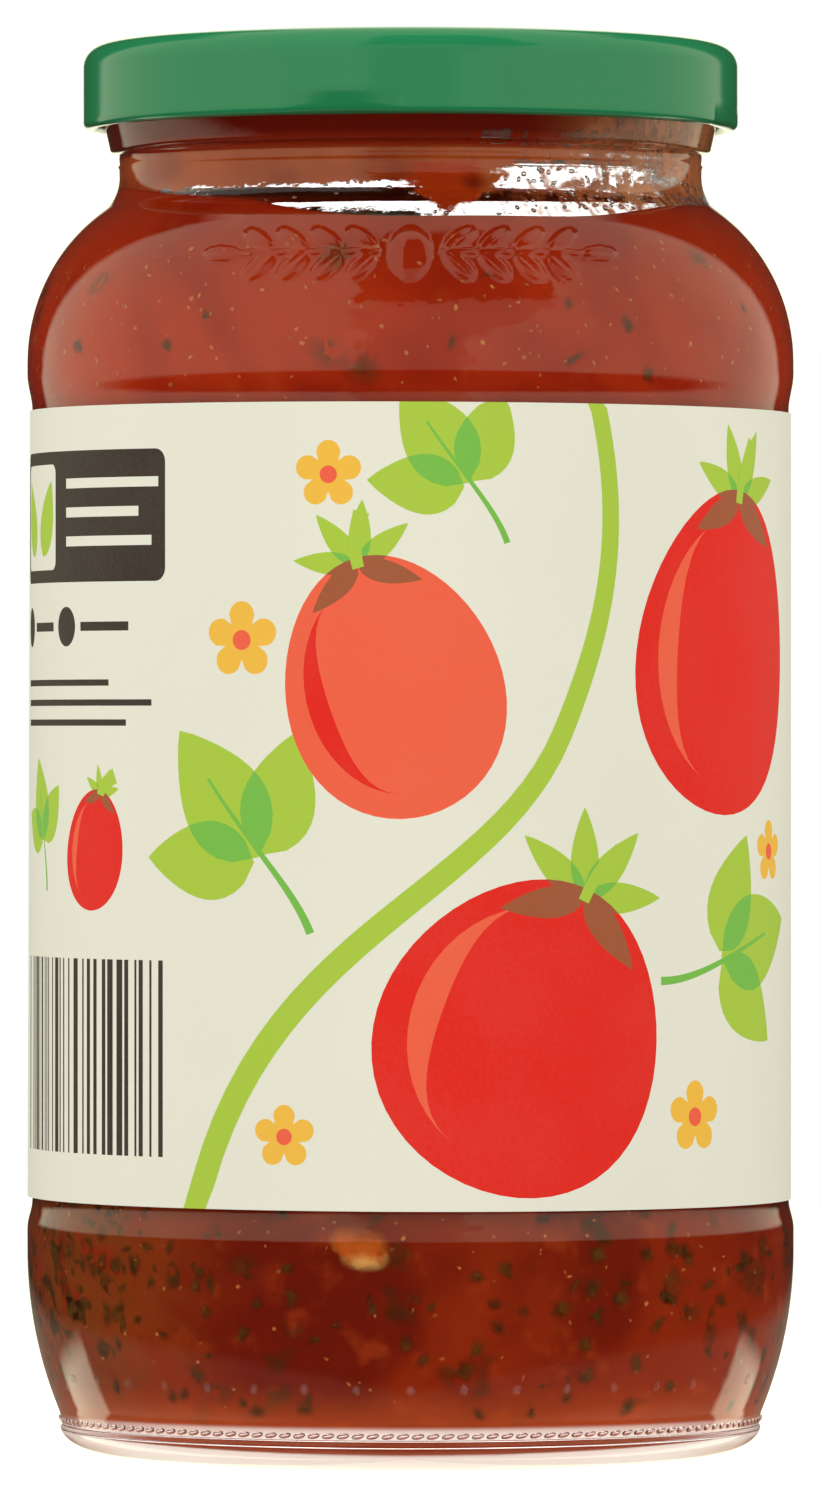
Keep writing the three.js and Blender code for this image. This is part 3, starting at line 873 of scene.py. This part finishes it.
def smear_finish():
    material, tree, place = new_finish("sauce_film")
    grain, cloud = noise_at(tree, place, 800.0, 3.0), noise_at(tree, place, 120.0, 2.0)
    at = node(tree, "ShaderNodeSeparateXYZ", {"Vector": place}).outputs
    patchy = clamped(tree, cloud, 0.35, 0.65)
    thin = blend_colours(tree, patchy, (0.25, 0.032, 0.006, 1), (0.36, 0.065, 0.012, 1))
    # painted shade: the film above the transfer ring is painted darker and redder in two steps, for the shade
    # under the lid
    painted_lid_shade = blend_colours(tree, clamped(tree, at["Z"], 0.1448, 0.146), thin, (0.24, 0.015, 0.003, 1))
    high = blend_colours(tree, clamped(tree, at["Z"], 0.1464, 0.1474), painted_lid_shade, (0.15, 0.007, 0.002, 1))
    # the torn film on the right is thin and browner
    brown = blend_colours(tree, patchy, (0.3, 0.075, 0.022, 1), (0.5, 0.17, 0.06, 1))
    film = blend_colours(tree, clamped(tree, at["X"], 0.012, 0.022), high, brown)
    # the drip at the front is thick and red, with a paler right side and a dark spot of painted shade where
    # its thick body would shade itself
    spot = vector_maths(tree, "DISTANCE", place, drip_shade_spot, output="Value")
    blurred_shade_reach = maths(tree, "MULTIPLY_ADD", cloud, 0.004, spot)
    paler = clamped(tree, at["X"], 0.0066, 0.0086)
    thick = blend_colours(tree, paler, (0.37, 0.031, 0.003, 1), (0.38, 0.085, 0.016, 1))
    # painted shade: the drip darkens towards its shade spot
    dark = blend_colours(tree, clamped(tree, blurred_shade_reach, 0.0052, 0.0024), thick, (0.08, 0.005, 0.002, 1))
    in_drip = clamped(tree, attribute(tree, "drip"), 0.02, 0.4)
    uneven = maths(tree, "MULTIPLY_ADD", grain, 0.5, attribute(tree, "cover"))
    look = {
        "Base Color": blend_colours(tree, in_drip, film, dark),
        "Roughness": 0.4,
        "Specular IOR Level": 0.0,
        "Alpha": clamped(tree, uneven, 0.25, 0.95),
        "Normal": bumped(tree, grain, 0.4, 0.3),
    }
    show(tree, coat(tree, look))
    return material


smear = smear_mesh()
smear.materials.append(smear_finish())
piece("neck_smear", smear)

# Droplets in the neck
# Clear beads of juice and steam that hang along the torn edge of the smear and on the glass below it.
# They are drops of water, each a flattened dome on the wall.
drops_low, drops_high, drops_step, drop_columns = 136.0, 144.5, 0.5, 180
drop_sizes = (0.25, 0.25, 0.2), (1.1, 0.9, 0.5)


def droplet_mesh():
    shape = bmesh.new()
    bmesh.ops.create_uvsphere(shape, u_segments=8, v_segments=5, radius=0.5)
    mesh = mesh_of(shape, "droplet")
    mesh.shade_smooth()
    return mesh


def droplet_carrier():
    """The neck's inner wall as a strip of faces that look inwards, with the share of drops on it."""
    heights = np.arange(drops_low, drops_high, drops_step)
    rows, columns = len(heights), drop_columns
    spots, shares = [], []
    for i in range(columns):
        azimuth = math.tau * i / columns - math.pi
        for z in heights:
            wall_r = float(neck_inside(z)) - 0.05
            x, y = wall_r * math.sin(azimuth), -wall_r * math.cos(azimuth)
            spots.append(wall_spot(wall_r, azimuth, z))
            cover = film_cover(azimuth, z)[0]
            over_sauce = z > float(level_at(x, y)) + 0.4
            shares.append(over_sauce * (0.04 + 1.6 * cover * (1 - cover)))
    faces = []
    for i in range(columns):
        for j in range(rows - 1):
            a, b = i * rows + j, ((i + 1) % columns) * rows + j
            faces.append((a, a + 1, b + 1, b))
    mesh = bpy.data.meshes.new("droplet_wall")
    mesh.from_pydata(spots, [], faces)
    return mesh, shares


def water_finish():
    material, tree, place = new_finish("clear_juice")
    ripple = noise_at(tree, place, 1500.0, 1.0)
    look = {
        "Base Color": (0.99, 0.96, 0.92, 1),
        "Roughness": 0.0,
        "IOR": 1.33,
        "Transmission Weight": 1.0,
        "Normal": bumped(tree, ripple, 0.1, 0.1),
    }
    rays = node(tree, "ShaderNodeLightPath")
    lets_light_through(tree, coat(tree, look), (1, 1, 1, 1), rays.outputs["Is Shadow Ray"])
    return material


wall_strip, drop_share = droplet_carrier()
strewn("neck_drops", wall_strip, drop_share, droplet_mesh(), 2500000.0, 7, *drop_sizes, 0.1, water_finish())

# Lid
# A twist cap of pressed tinplate with gloss green lacquer, 0.5 mm thick here: a curled bottom edge, a rounded
# corner, a stepped top with a safety button, and four lugs whose press marks dent the skirt.
cap_radius, cap_height, cap_sheet, cap_corner = 36.7, 9.6, 0.5, 2.6
curl_radius, cap_rim_width, cap_panel_radius, cap_panel_drop = 0.85, 1.6, 29.4, 0.6
button_radius, button_drop, button_dish, cap_step_width = 13, 0.4, 0.2, 0.9
lugs, first_lug, lug_span, lug_dent, lug_rise = 4, math.radians(-12), math.radians(22), 0.6, 2.8


def cap_profile():
    quarter = math.pi / 2
    skirt_bottom = total_height - cap_height
    curl = (cap_radius - curl_radius, skirt_bottom + curl_radius)
    corner = (cap_radius - cap_corner, total_height - cap_corner)
    panel_z = total_height - cap_panel_drop
    button_z = panel_z - button_drop
    inner_corner_size = cap_corner - cap_sheet
    top = [
        *ease((corner[0] - cap_rim_width, total_height), (cap_panel_radius, panel_z), 6),
        (cap_panel_radius - 8, panel_z),
        *ease((button_radius + cap_step_width, panel_z), (button_radius, button_z), 6),
        *[(button_radius * s, button_z - button_dish * (1 - s * s)) for s in np.linspace(0.85, 0, 6)],
    ]
    under = [(r, z - cap_sheet) for r, z in top][::-1]
    skirt = [(cap_radius, z) for z in np.linspace(curl[1], corner[1], 16)[1:-1]]
    return [
        *under,
        *arc(corner, (inner_corner_size, inner_corner_size), quarter, 0, 6),
        (cap_radius - cap_sheet, curl[1] + curl_radius),
        *arc(curl, (curl_radius, curl_radius), quarter, math.tau, 14),
        *skirt,
        *arc(corner, (cap_corner, cap_corner), 0, quarter, 12),
        *top,
    ]


def between(tree, share, low, high):
    """A value that runs from low to high with a share."""
    values = {"Value": share, "To Min": low, "To Max": high}
    return node(tree, "ShaderNodeMapRange", values).outputs["Result"]


def lacquer_finish():
    material, tree, place = new_finish("green_lacquer")
    peel, drift = noise_at(tree, place, 1600.0, 2.0), noise_at(tree, place, 60.0, 2.0)
    look = {
        "Base Color": blend_colours(tree, drift, (0.013, 0.21, 0.074, 1), (0.018, 0.23, 0.082, 1)),
        "Roughness": between(tree, drift, 0.1, 0.16),
        "Specular IOR Level": 0.4,
        "Normal": bumped(tree, peel, 0.04, 0.05),
    }
    show(tree, coat(tree, look))
    return material


green_lacquer = lacquer_finish()
lid_mesh = turned("pressed_lid", cap_profile(), 512, 0.4, green_lacquer)
points, r, z, azimuth = points_of(lid_mesh)
skirt_bottom = total_height - cap_height
in_lug = np.zeros_like(r)
for i in range(lugs):
    off = (azimuth - first_lug - i * math.tau / lugs + math.pi) % math.tau - math.pi
    in_lug = np.maximum(in_lug, np.clip(1 - (off / (lug_span / 2)) ** 2, 0, 1) ** 0.7)
low_skirt = np.clip(1 - (z - skirt_bottom) / lug_rise, 0, 1)
set_points(lid_mesh, r - lug_dent * in_lug * low_skirt, z, azimuth)
piece("pressed_lid", lid_mesh, "lid")

# Label
# A sheet of coated cream paper, printed flat in a few solid inks, wrapped once round the panel and glued
# where its ends lap. It sits a hair askew, and its lower edge has lifted a little on the left.
label_bottom, label_height, label_inner, label_sheet = 28.8, 87.9, 42.48, 0.17
label_start, label_lap, lap_lift, lap_ease, label_askew = -90.0, 6.0, 0.1, 3, math.radians(-0.2)
lifted_azimuth, lifted_span, lifted_height, lifted_reach = math.radians(-88), 0.16, 9.0, 0.28
label_length = math.tau * (label_inner + label_sheet) + label_lap
inks = {
    "cream": (0.86, 0.84, 0.68),
    "red": (0.82, 0.023, 0.013),
    "coral": (0.93, 0.13, 0.06),
    "lime": (0.43, 0.62, 0.055),
    "green": (0.2, 0.53, 0.07),
    "yellow": (0.95, 0.53, 0.06),
    "brown": (0.38, 0.105, 0.04),
    "dark": (0.045, 0.032, 0.024),
}
printed = []  # outline, ink and whether the ink lets what is under it show


def print_shape(ink, outline, through=False):
    """Adds a shape to the print, its outline taken anticlockwise."""
    area = sum(a[0] * b[1] - a[1] * b[0] for a, b in zip(outline, [*outline[1:], outline[0]]))
    printed.append(([Vector(p) for p in (outline if area > 0 else outline[::-1])], ink, through))


def placed(outline, at, lean):
    """Turns an outline by an angle to the left and moves it to a place on the label."""
    c, s = math.cos(lean), math.sin(lean)
    return [(at[0] + x * c - y * s, at[1] + x * s + y * c) for x, y in outline]


def oval(width, height, sides=40, taper=0.0):
    turns = [math.tau * i / sides for i in range(sides)]
    return [(width / 2 * math.sin(t) * (1 - taper * math.cos(t)), height / 2 * math.cos(t)) for t in turns]


def leaflet(length, width):
    """A broad leaf that starts at a narrow foot and ends in a blunt point."""
    shares = np.linspace(0, 1, 13)
    half = width / 2 * np.sin(np.pi * shares**0.72) ** 0.85
    return [(-w, length * s) for s, w in zip(shares, half)] + [
        (w, length * s) for s, w in zip(shares[-2:0:-1], half[-2:0:-1])
    ]


def ribbon(start, lead, trail, end, first_width, last_width):
    """A stroke along a curve, wider at one end."""
    steps = 24
    left, right = [], []
    for i in range(steps + 1):
        u = i / steps
        weights = ((1 - u) ** 3, 3 * u * (1 - u) ** 2, 3 * u * u * (1 - u), u**3)
        slopes = (-3 * (1 - u) ** 2, 3 * (1 - u) * (1 - 3 * u), 3 * u * (2 - 3 * u), 3 * u * u)
        corners = (start, lead, trail, end)
        x, y = (sum(w * p[k] for w, p in zip(weights, corners)) for k in (0, 1))
        dx, dy = (sum(w * p[k] for w, p in zip(slopes, corners)) for k in (0, 1))
        half = (first_width + (last_width - first_width) * u) / 2 / math.hypot(dx, dy)
        left.append((x - dy * half, y + dx * half))
        right.append((x + dy * half, y - dx * half))
    return left + right[::-1]


def bar(low, high, corner=0.0):
    """An upright rectangle, with round corners where a radius is given."""
    if not corner:
        return [low, (high[0], low[1]), high, (low[0], high[1])]
    middles = [
        (high[0] - corner, high[1] - corner),
        (low[0] + corner, high[1] - corner),
        (low[0] + corner, low[1] + corner),
        (high[0] - corner, low[1] + corner),
    ]
    return [
        (m[0] + corner * math.cos(t), m[1] + corner * math.sin(t))
        for i, m in enumerate(middles)
        for t in np.linspace(i * math.pi / 2, (i + 1) * math.pi / 2, 6)
    ]


def plum_tomato(at, width, length, lean, ink, shine):
    """A plum tomato that hangs from its stalk, with a lighter side, a crown of sepals and a short stalk."""
    print_shape(ink, placed(oval(width, length, 56, 0.1), at, lean))
    turns = np.linspace(math.radians(195), math.radians(330), 18)
    outer = [(width * 0.4 * math.sin(t), length * 0.41 * math.cos(t)) for t in turns]
    inner = [
        (width * (0.4 - 0.1 * math.sin(i * math.pi / 17)) * math.sin(t), length * 0.41 * math.cos(t))
        for i, t in enumerate(turns)
    ]
    print_shape(shine, placed(outer + inner[-2:0:-1], at, lean))
    crown = placed([(0, length * 0.47)], at, lean)[0]
    for turn in (-118, -66, -20, 24, 70, 120):
        sepal = leaflet(width * 0.3, width * 0.105)
        print_shape("lime", placed(sepal, crown, lean + math.radians(turn)), True)
    stalk = placed([(0, length * 0.46), (0, length * 0.56), (1, length * 0.6), (2, length * 0.66)], at, lean)
    print_shape("lime", ribbon(*stalk, 1.3, 1.8))


def trefoil(at, size, lean):
    """Three broad leaflets on a short stalk, inks overlapping where they cross."""
    for turn, share in ((52, 0.82), (-52, 0.82), (0, 1.0)):
        foot = placed([(0, size * 0.1)], at, lean + math.radians(turn) * 0.5)[0]
        leaf = leaflet(size * share, size * share * 0.62)
        print_shape("lime", placed(leaf, foot, lean + math.radians(turn)), True)
    rib = placed([(0, -size * 0.5), (size * 0.08, -size * 0.2), (0, size * 0.2), (0, size * 0.72)], at, lean)
    print_shape("green", ribbon(*rib, size * 0.055, size * 0.02))


def blossom(at, size):
    turns = [math.tau * i / 50 for i in range(50)]
    reach = [size / 2 * (0.5 + 0.5 * abs(math.cos(2.5 * t)) ** 0.6) for t in turns]
    print_shape("yellow", [(at[0] + q * math.sin(t), at[1] + q * math.cos(t)) for t, q in zip(turns, reach)])
    print_shape("coral", placed(oval(size * 0.26, size * 0.26, 16), at, 0))


def vine(s):
    """The main picture: fruits, leaves and blossoms on one stem, drawn about a place along the label."""
    print_shape("lime", ribbon((s - 30, -1), (s - 22, 30), (s + 4, 34), (s + 12, 52), 3.0, 2.4))
    print_shape("lime", ribbon((s + 12, 52), (s + 17.3, 64), (s + 20, 74), (s + 16, 89), 2.4, 2.0))
    trefoil((s - 21, 37), 17, math.radians(36))
    trefoil((s + 33, 27), 17, math.radians(-76))
    trefoil((s + 2, 78), 13, math.radians(34))
    plum_tomato((s + 8, 19), 33, 35, math.radians(-24), "red", "coral")
    plum_tomato((s - 7, 57), 24, 29, math.radians(16), "coral", "red")
    plum_tomato((s + 36, 61), 29, 36, math.radians(-8), "red", "coral")
    for at, size in (((-24, 62), 8.5), ((-14, 80), 7.5), ((30, 10), 8.0), ((46, 39), 7.0), ((-19, 8), 7.0)):
        blossom((s + at[0], at[1]), size)


def back_sprig(s):
    """A smaller picture of the same kind for the back."""
    print_shape("lime", ribbon((s - 24, -1), (s - 14, 26), (s - 2, 52), (s + 4, 89), 2.8, 2.2))
    trefoil((s - 18, 50), 17, math.radians(40))
    trefoil((s - 7, 79), 12, math.radians(52))
    plum_tomato((s + 10, 25), 30, 34, math.radians(-14), "red", "coral")
    plum_tomato((s + 17, 58), 20, 24, math.radians(-10), "coral", "red")
    for at, size in (((-20, 72), 8.0), ((-16, 12), 7.5)):
        blossom((s + at[0], at[1]), size)


def facts_column(s):
    """Plain fields: a panel, two discs, three rules, a small fruit and a block of bars."""
    print_shape("dark", bar((s - 18, 68.5), (s + 17, 83), 1.4))
    print_shape("cream", bar((s - 16.6, 69.9), (s - 4, 81.6), 1.0))
    print_shape("lime", placed(leaflet(9, 4.6), (s - 12.4, 71.4), math.radians(20)), True)
    print_shape("lime", placed(leaflet(9, 4.6), (s - 8.4, 71.4), math.radians(-20)), True)
    for row, width in ((79.4, 17), (76.2, 14), (73.0, 16)):
        print_shape("cream", bar((s - 1, row - 0.55), (s - 1 + width, row + 0.55)))
    for left, width in ((-15, 7), (-1, 9)):
        print_shape("dark", placed(oval(4.4, 4.4, 28), (s + left, 63.6), 0))
        print_shape("dark", bar((s + left + 3.4, 63.1), (s + left + 3.4 + width, 64.1)))
    for row, width in ((57.4, 25), (55.2, 32), (53.0, 28)):
        print_shape("dark", bar((s - 17, row - 0.35), (s - 17 + width, row + 0.35)))
    plum_tomato((s + 5, 39), 11, 13.5, math.radians(-14), "red", "coral")
    trefoil((s - 8, 39), 9.5, math.radians(14))
    chance = np.random.default_rng(5)
    edge = s - 17
    while edge < s + 16:
        width = 0.33 * chance.integers(1, 4)
        print_shape("dark", bar((edge, 5.5), (edge + width, 27)))
        edge += width + 0.33 * chance.integers(1, 4)


def bare_plate(s):
    """A bare plate with a thin frame and two rules."""
    print_shape("dark", bar((s - 25, 30), (s + 25, 60), 4))
    print_shape("cream", bar((s - 24.2, 30.8), (s + 24.2, 59.2), 3.4))
    print_shape("lime", bar((s - 20, 35), (s + 20, 36)))
    print_shape("lime", bar((s - 20, 54), (s + 20, 55)))


def topmost(layers):
    """The ink that shows where shapes lie over each other."""
    if not layers:
        return "cream"
    _, ink, through = printed[layers[-1]]
    if not through or len(layers) == 1:
        return ink
    under = topmost(layers[:-1])
    crossed = {"lime": "green", "green": "green", "red": "brown", "coral": "brown", "brown": "brown"}
    return crossed.get(under, ink)


def label_mesh():
    """The sheet, cut along every printed edge and wrapped round the panel."""
    low, high = label_start, label_start + label_length
    columns = np.linspace(low, high, 140)
    spots = [Vector((x, y)) for y in (0, label_height) for x in columns]
    count = len(columns)
    edges = [(i, i + 1) for i in range(count - 1)] + [(count + i, count + i + 1) for i in range(count - 1)]
    edges += [(i, count + i) for i in range(count)]
    outlines = []
    for outline, _, _ in printed:
        inside = [Vector((min(max(p.x, low), high), min(max(p.y, 0), label_height))) for p in outline]
        outlines.append(list(range(len(spots), len(spots) + len(inside))))
        spots += inside
    flat, _, faces, _, _, layers = delaunay_2d_cdt(spots, edges, outlines, 1, 1e-5)
    keep = [i for i, f in enumerate(faces) if len(set(f)) > 2]
    shares = np.array([(p.x, p.y) for p in flat])
    along, up = shares[:, 0], shares[:, 1]
    azimuth = along / (label_inner + label_sheet)
    lap = np.clip((along - (high - label_lap - lap_ease)) / lap_ease, 0, 1)
    turn_off = (azimuth - lifted_azimuth + math.pi) % math.tau - math.pi
    near_edge = np.clip(1 - up / lifted_height, 0, 1)
    lift = lifted_reach * np.exp(-((turn_off / lifted_span) ** 2)) * near_edge**2
    near = label_inner + label_sheet + lap_lift * lap + lift
    z = label_bottom + up + near * np.sin(azimuth) * math.tan(label_askew)
    wrapped = [
        np.stack([q * np.sin(azimuth), -q * np.cos(azimuth), z], axis=1) * MM
        for q in (near, near - label_sheet)
    ]
    mesh = thick_sheet(
        "paper_label", wrapped[0].tolist(), wrapped[1].tolist(), [tuple(faces[i]) for i in keep]
    )
    colours = [(*inks[topmost(sorted(layers[i]))], 1) for i in keep]
    rest = len(mesh.polygons) - len(keep)
    paint = mesh.attributes.new("ink", "FLOAT_COLOR", "FACE")
    paint.data.foreach_set("color", np.array(colours + [(*inks["cream"], 1)] * rest).ravel())
    return mesh, len(keep)


def round_normals(mesh, fronts):
    """Lets the paper's faces shade as one round sheet, with sharp edges."""
    normals = []
    for i, face in enumerate(mesh.polygons):
        for corner in face.vertices:
            out = Vector((mesh.vertices[corner].co.x, mesh.vertices[corner].co.y, 0)).normalized()
            normals.append(out if i < fronts else -out if i < fronts * 2 else face.normal)
    mesh.normals_split_custom_set(normals)


def paper_finish():
    material, tree, place = new_finish("coated_paper")
    fibre, cloud = noise_at(tree, place, 2200.0, 3.0), noise_at(tree, place, 90.0, 3.0)
    grain = maths(tree, "MULTIPLY_ADD", fibre, 0.5, maths(tree, "MULTIPLY", cloud, 0.5))
    worn = maths(tree, "MULTIPLY", clamped(tree, grain, 0.35, 0.65), 0.03)
    look = {
        "Base Color": blend_colours(tree, worn, attribute(tree, "ink", "Color"), (0.5, 0.47, 0.38, 1)),
        "Roughness": between(tree, cloud, 0.5, 0.62),
        "Specular IOR Level": 0.15,
        "Normal": bumped(tree, fibre, 0.12, 0.05),
    }
    show(tree, coat(tree, look))
    return material


vine(5)
facts_column(-46)
bare_plate(92)
back_sprig(149)
paper, printed_faces = label_mesh()
paper.materials.append(paper_finish())
piece("paper_label", paper, "label")
round_normals(paper, printed_faces)

# Studio
# A white sweep with soft boxes at the sides, in front and behind. The floor is a pale disc that fades out at
# its rim, so that no horizon shows. A light tent close round the jar makes the highlights on glass and cap.
camera_height, camera_distance, camera_lens = 78.9, 1290, 276
tent_middle, tent_radius, lamp_aim = (0, 0, 0.12), 0.4, (0, 0, 0.09)


def sweep_light():
    """The plain white sweep: what the camera sees behind the jar, and a little even light from all round."""
    world = bpy.data.worlds.new("studio")
    bpy.context.scene.world = world
    world.use_nodes = True
    tree = world.node_tree
    tree.nodes.clear()
    way = node(tree, "ShaderNodeSeparateXYZ", {0: tree.nodes.new("ShaderNodeTexCoord").outputs["Generated"]})
    even = maths(tree, "MULTIPLY_ADD", clamped(tree, way.outputs["Z"], -0.4, 0.2), 0.5, 0.18)
    rays = node(tree, "ShaderNodeLightPath")
    seen = node(tree, "ShaderNodeMix", {"Factor": rays.outputs["Is Camera Ray"], "A": even, "B": 1.0})
    light = node(tree, "ShaderNodeBackground", {"Color": (1, 1, 1, 1), "Strength": seen.outputs["Result"]})
    node(tree, "ShaderNodeOutputWorld", {"Surface": light.outputs[0]})


def tent_finish():
    """Light by azimuth from the camera and by elevation over the tent's middle, in degrees."""
    material, tree, place = new_finish("tent_light")
    outwards = vector_maths(tree, "NORMALIZE", vector_maths(tree, "SUBTRACT", place, tent_middle))
    way = node(tree, "ShaderNodeSeparateXYZ", {0: outwards}).outputs
    front = maths(tree, "MULTIPLY", way["Y"], -1.0)
    rightwards = maths(tree, "MULTIPLY", maths(tree, "ARCTAN2", way["X"], front), 180 / math.pi)
    azimuth = maths(tree, "ABSOLUTE", rightwards)
    elevation = maths(tree, "MULTIPLY", maths(tree, "ARCSINE", way["Z"]), 180 / math.pi)

    def lit(strength, *edges):
        """A patch of light inside soft edges, each given by a value and where it is dark and where lit."""
        patch = strength
        for value, dark, bright in edges:
            patch = maths(tree, "MULTIPLY", clamped(tree, value, dark, bright), patch)
        return patch

    folds = {"Vector": place, "Scale": 28.0, "Detail": 5.0, "Roughness": 0.65}
    crumple = node(tree, "ShaderNodeTexNoise", folds)
    ragged = maths(tree, "MULTIPLY_ADD", crumple.outputs["Fac"], 22.0, -11.0)
    widen = clamped(tree, elevation, 5.0, 28.0)
    gap_middle = maths(tree, "MULTIPLY_ADD", widen, -14.0, maths(tree, "ADD", rightwards, ragged))
    from_gap = maths(tree, "MULTIPLY_ADD", widen, -16.0, maths(tree, "ABSOLUTE", gap_middle))
    ragged_rise = maths(tree, "ADD", elevation, ragged)
    leaning = maths(tree, "MULTIPLY_ADD", elevation, 0.45, azimuth)
    over_table = maths(tree, "MULTIPLY_ADD", azimuth, -0.18, elevation)
    patches = [
        lit(1.05, (from_gap, 13.0, 16.0), (leaning, 142.0, 137.0), (elevation, -13.0, -9.0)),
        lit(0.65, (elevation, -13.0, -9.0), (ragged_rise, 29.0, 26.0), (from_gap, 24.0, 16.0)),
        lit(1.0, (elevation, 69.0, 75.0)),
        lit(1.7, (azimuth, 164.0, 169.0), (elevation, 70.0, 50.0)),
        lit(1.1, (azimuth, 85.0, 110.0), (elevation, 50.0, 60.0)),
        lit(0.22, (over_table, -45.0, -49.0)),
        lit(0.8, (over_table, -54.0, -64.0)),
        lit(2.2, (azimuth, 115.0, 119.0), (azimuth, 141.0, 136.0), (elevation, -25.0, -30.0)),
    ]
    strength = 0.03
    for patch in patches:
        strength = maths(tree, "MAXIMUM", patch, strength)
    # the white table, as it shows through clear glass
    rays = node(tree, "ShaderNodeLightPath")
    through = maths(tree, "MULTIPLY", rays.outputs["Is Transmission Ray"], lit(2.3, (elevation, -3.0, -9.0)))
    strength = maths(tree, "MAXIMUM", through, strength)
    tint = blend_colours(tree, rays.outputs["Is Transmission Ray"], (1.0, 1.0, 0.74, 1), (1.0, 0.97, 0.95, 1))
    glow = node(tree, "ShaderNodeEmission", {"Color": tint, "Strength": strength})
    show(tree, glow.outputs[0])
    material.cycles.emission_sampling = "NONE"
    return material


def light_tent():
    """The inside of a light tent, seen only in reflections and through the glass."""
    shape = bmesh.new()
    bmesh.ops.create_icosphere(shape, subdivisions=5, radius=tent_radius)
    bmesh.ops.translate(shape, vec=tent_middle, verts=shape.verts)
    bmesh.ops.reverse_faces(shape, faces=shape.faces)
    mesh = mesh_of(shape, "light_tent")
    mesh.materials.append(tent_finish())
    tent = linked("light_tent", mesh)
    tent.visible_camera = False
    tent.visible_diffuse = False
    tent.visible_shadow = False


def soft_lamp(name, place, size, power):
    """A large lamp that lights the jar but isn't mirrored in it."""
    lamp = bpy.data.lights.new(name, "AREA")
    lamp.shape = "RECTANGLE"
    lamp.size, lamp.size_y = size
    lamp.energy = power
    made = linked(name, lamp)
    made.location = place
    made.rotation_euler = (Vector(place) - Vector(lamp_aim)).to_track_quat("Z", "Y").to_euler()
    made.visible_glossy = False
    made.visible_transmission = False
    made.visible_camera = False


def fading_floor():
    """A pale disc under the jar that fades out before its rim."""
    rings, sides, reach = 24, 96, 0.5
    spots, faces = [(0, 0, 0)], []
    for i in range(1, rings + 1):
        for j in range(sides):
            turn = math.tau * j / sides
            spots.append((reach * i / rings * math.cos(turn), reach * i / rings * math.sin(turn), 0))
    for j in range(sides):
        faces.append((0, 1 + j, 1 + (j + 1) % sides))
        for i in range(rings - 1):
            a, b = 1 + i * sides + j, 1 + i * sides + (j + 1) % sides
            faces.append((a, a + sides, b + sides, b))
    mesh = bpy.data.meshes.new("floor")
    mesh.from_pydata(spots, [], faces)
    material, tree, place = new_finish("white_floor")
    apart = vector_maths(tree, "LENGTH", place, output="Value")
    look = {
        "Base Color": (0.9, 0.9, 0.9, 1),
        "Roughness": 0.8,
        "Specular IOR Level": 0.0,
        "Emission Color": (1, 1, 1, 1),
        "Emission Strength": 0.62,
        "Alpha": clamped(tree, apart, 0.42, 0.06),
    }
    show(tree, coat(tree, look))
    mesh.materials.append(material)
    floor = linked("floor", mesh)
    floor.visible_diffuse = False
    floor.visible_glossy = False
    floor.visible_transmission = False


soft_lamp("left_box", (-1.41, -0.82, 0.6), (0.9, 1.2), 13.5)
soft_lamp("right_box", (1.41, -0.82, 0.6), (0.9, 1.2), 12.5)
soft_lamp("front_box", (0, -1.5, 0.9), (1.4, 0.8), 4.0)
soft_lamp("back_box", (0, 1.6, 0.8), (1.6, 1.2), 12.0)
fading_floor()
light_tent()
sweep_light()
bpy.context.scene.view_settings.view_transform = "Standard"
camera = linked("camera", bpy.data.cameras.new("camera"))
camera.location = (0, -camera_distance * MM, camera_height * MM)
camera.rotation_euler = (math.pi / 2, 0, 0)
camera.data.lens = camera_lens
camera.data.sensor_width = 36
bpy.context.scene.camera = camera
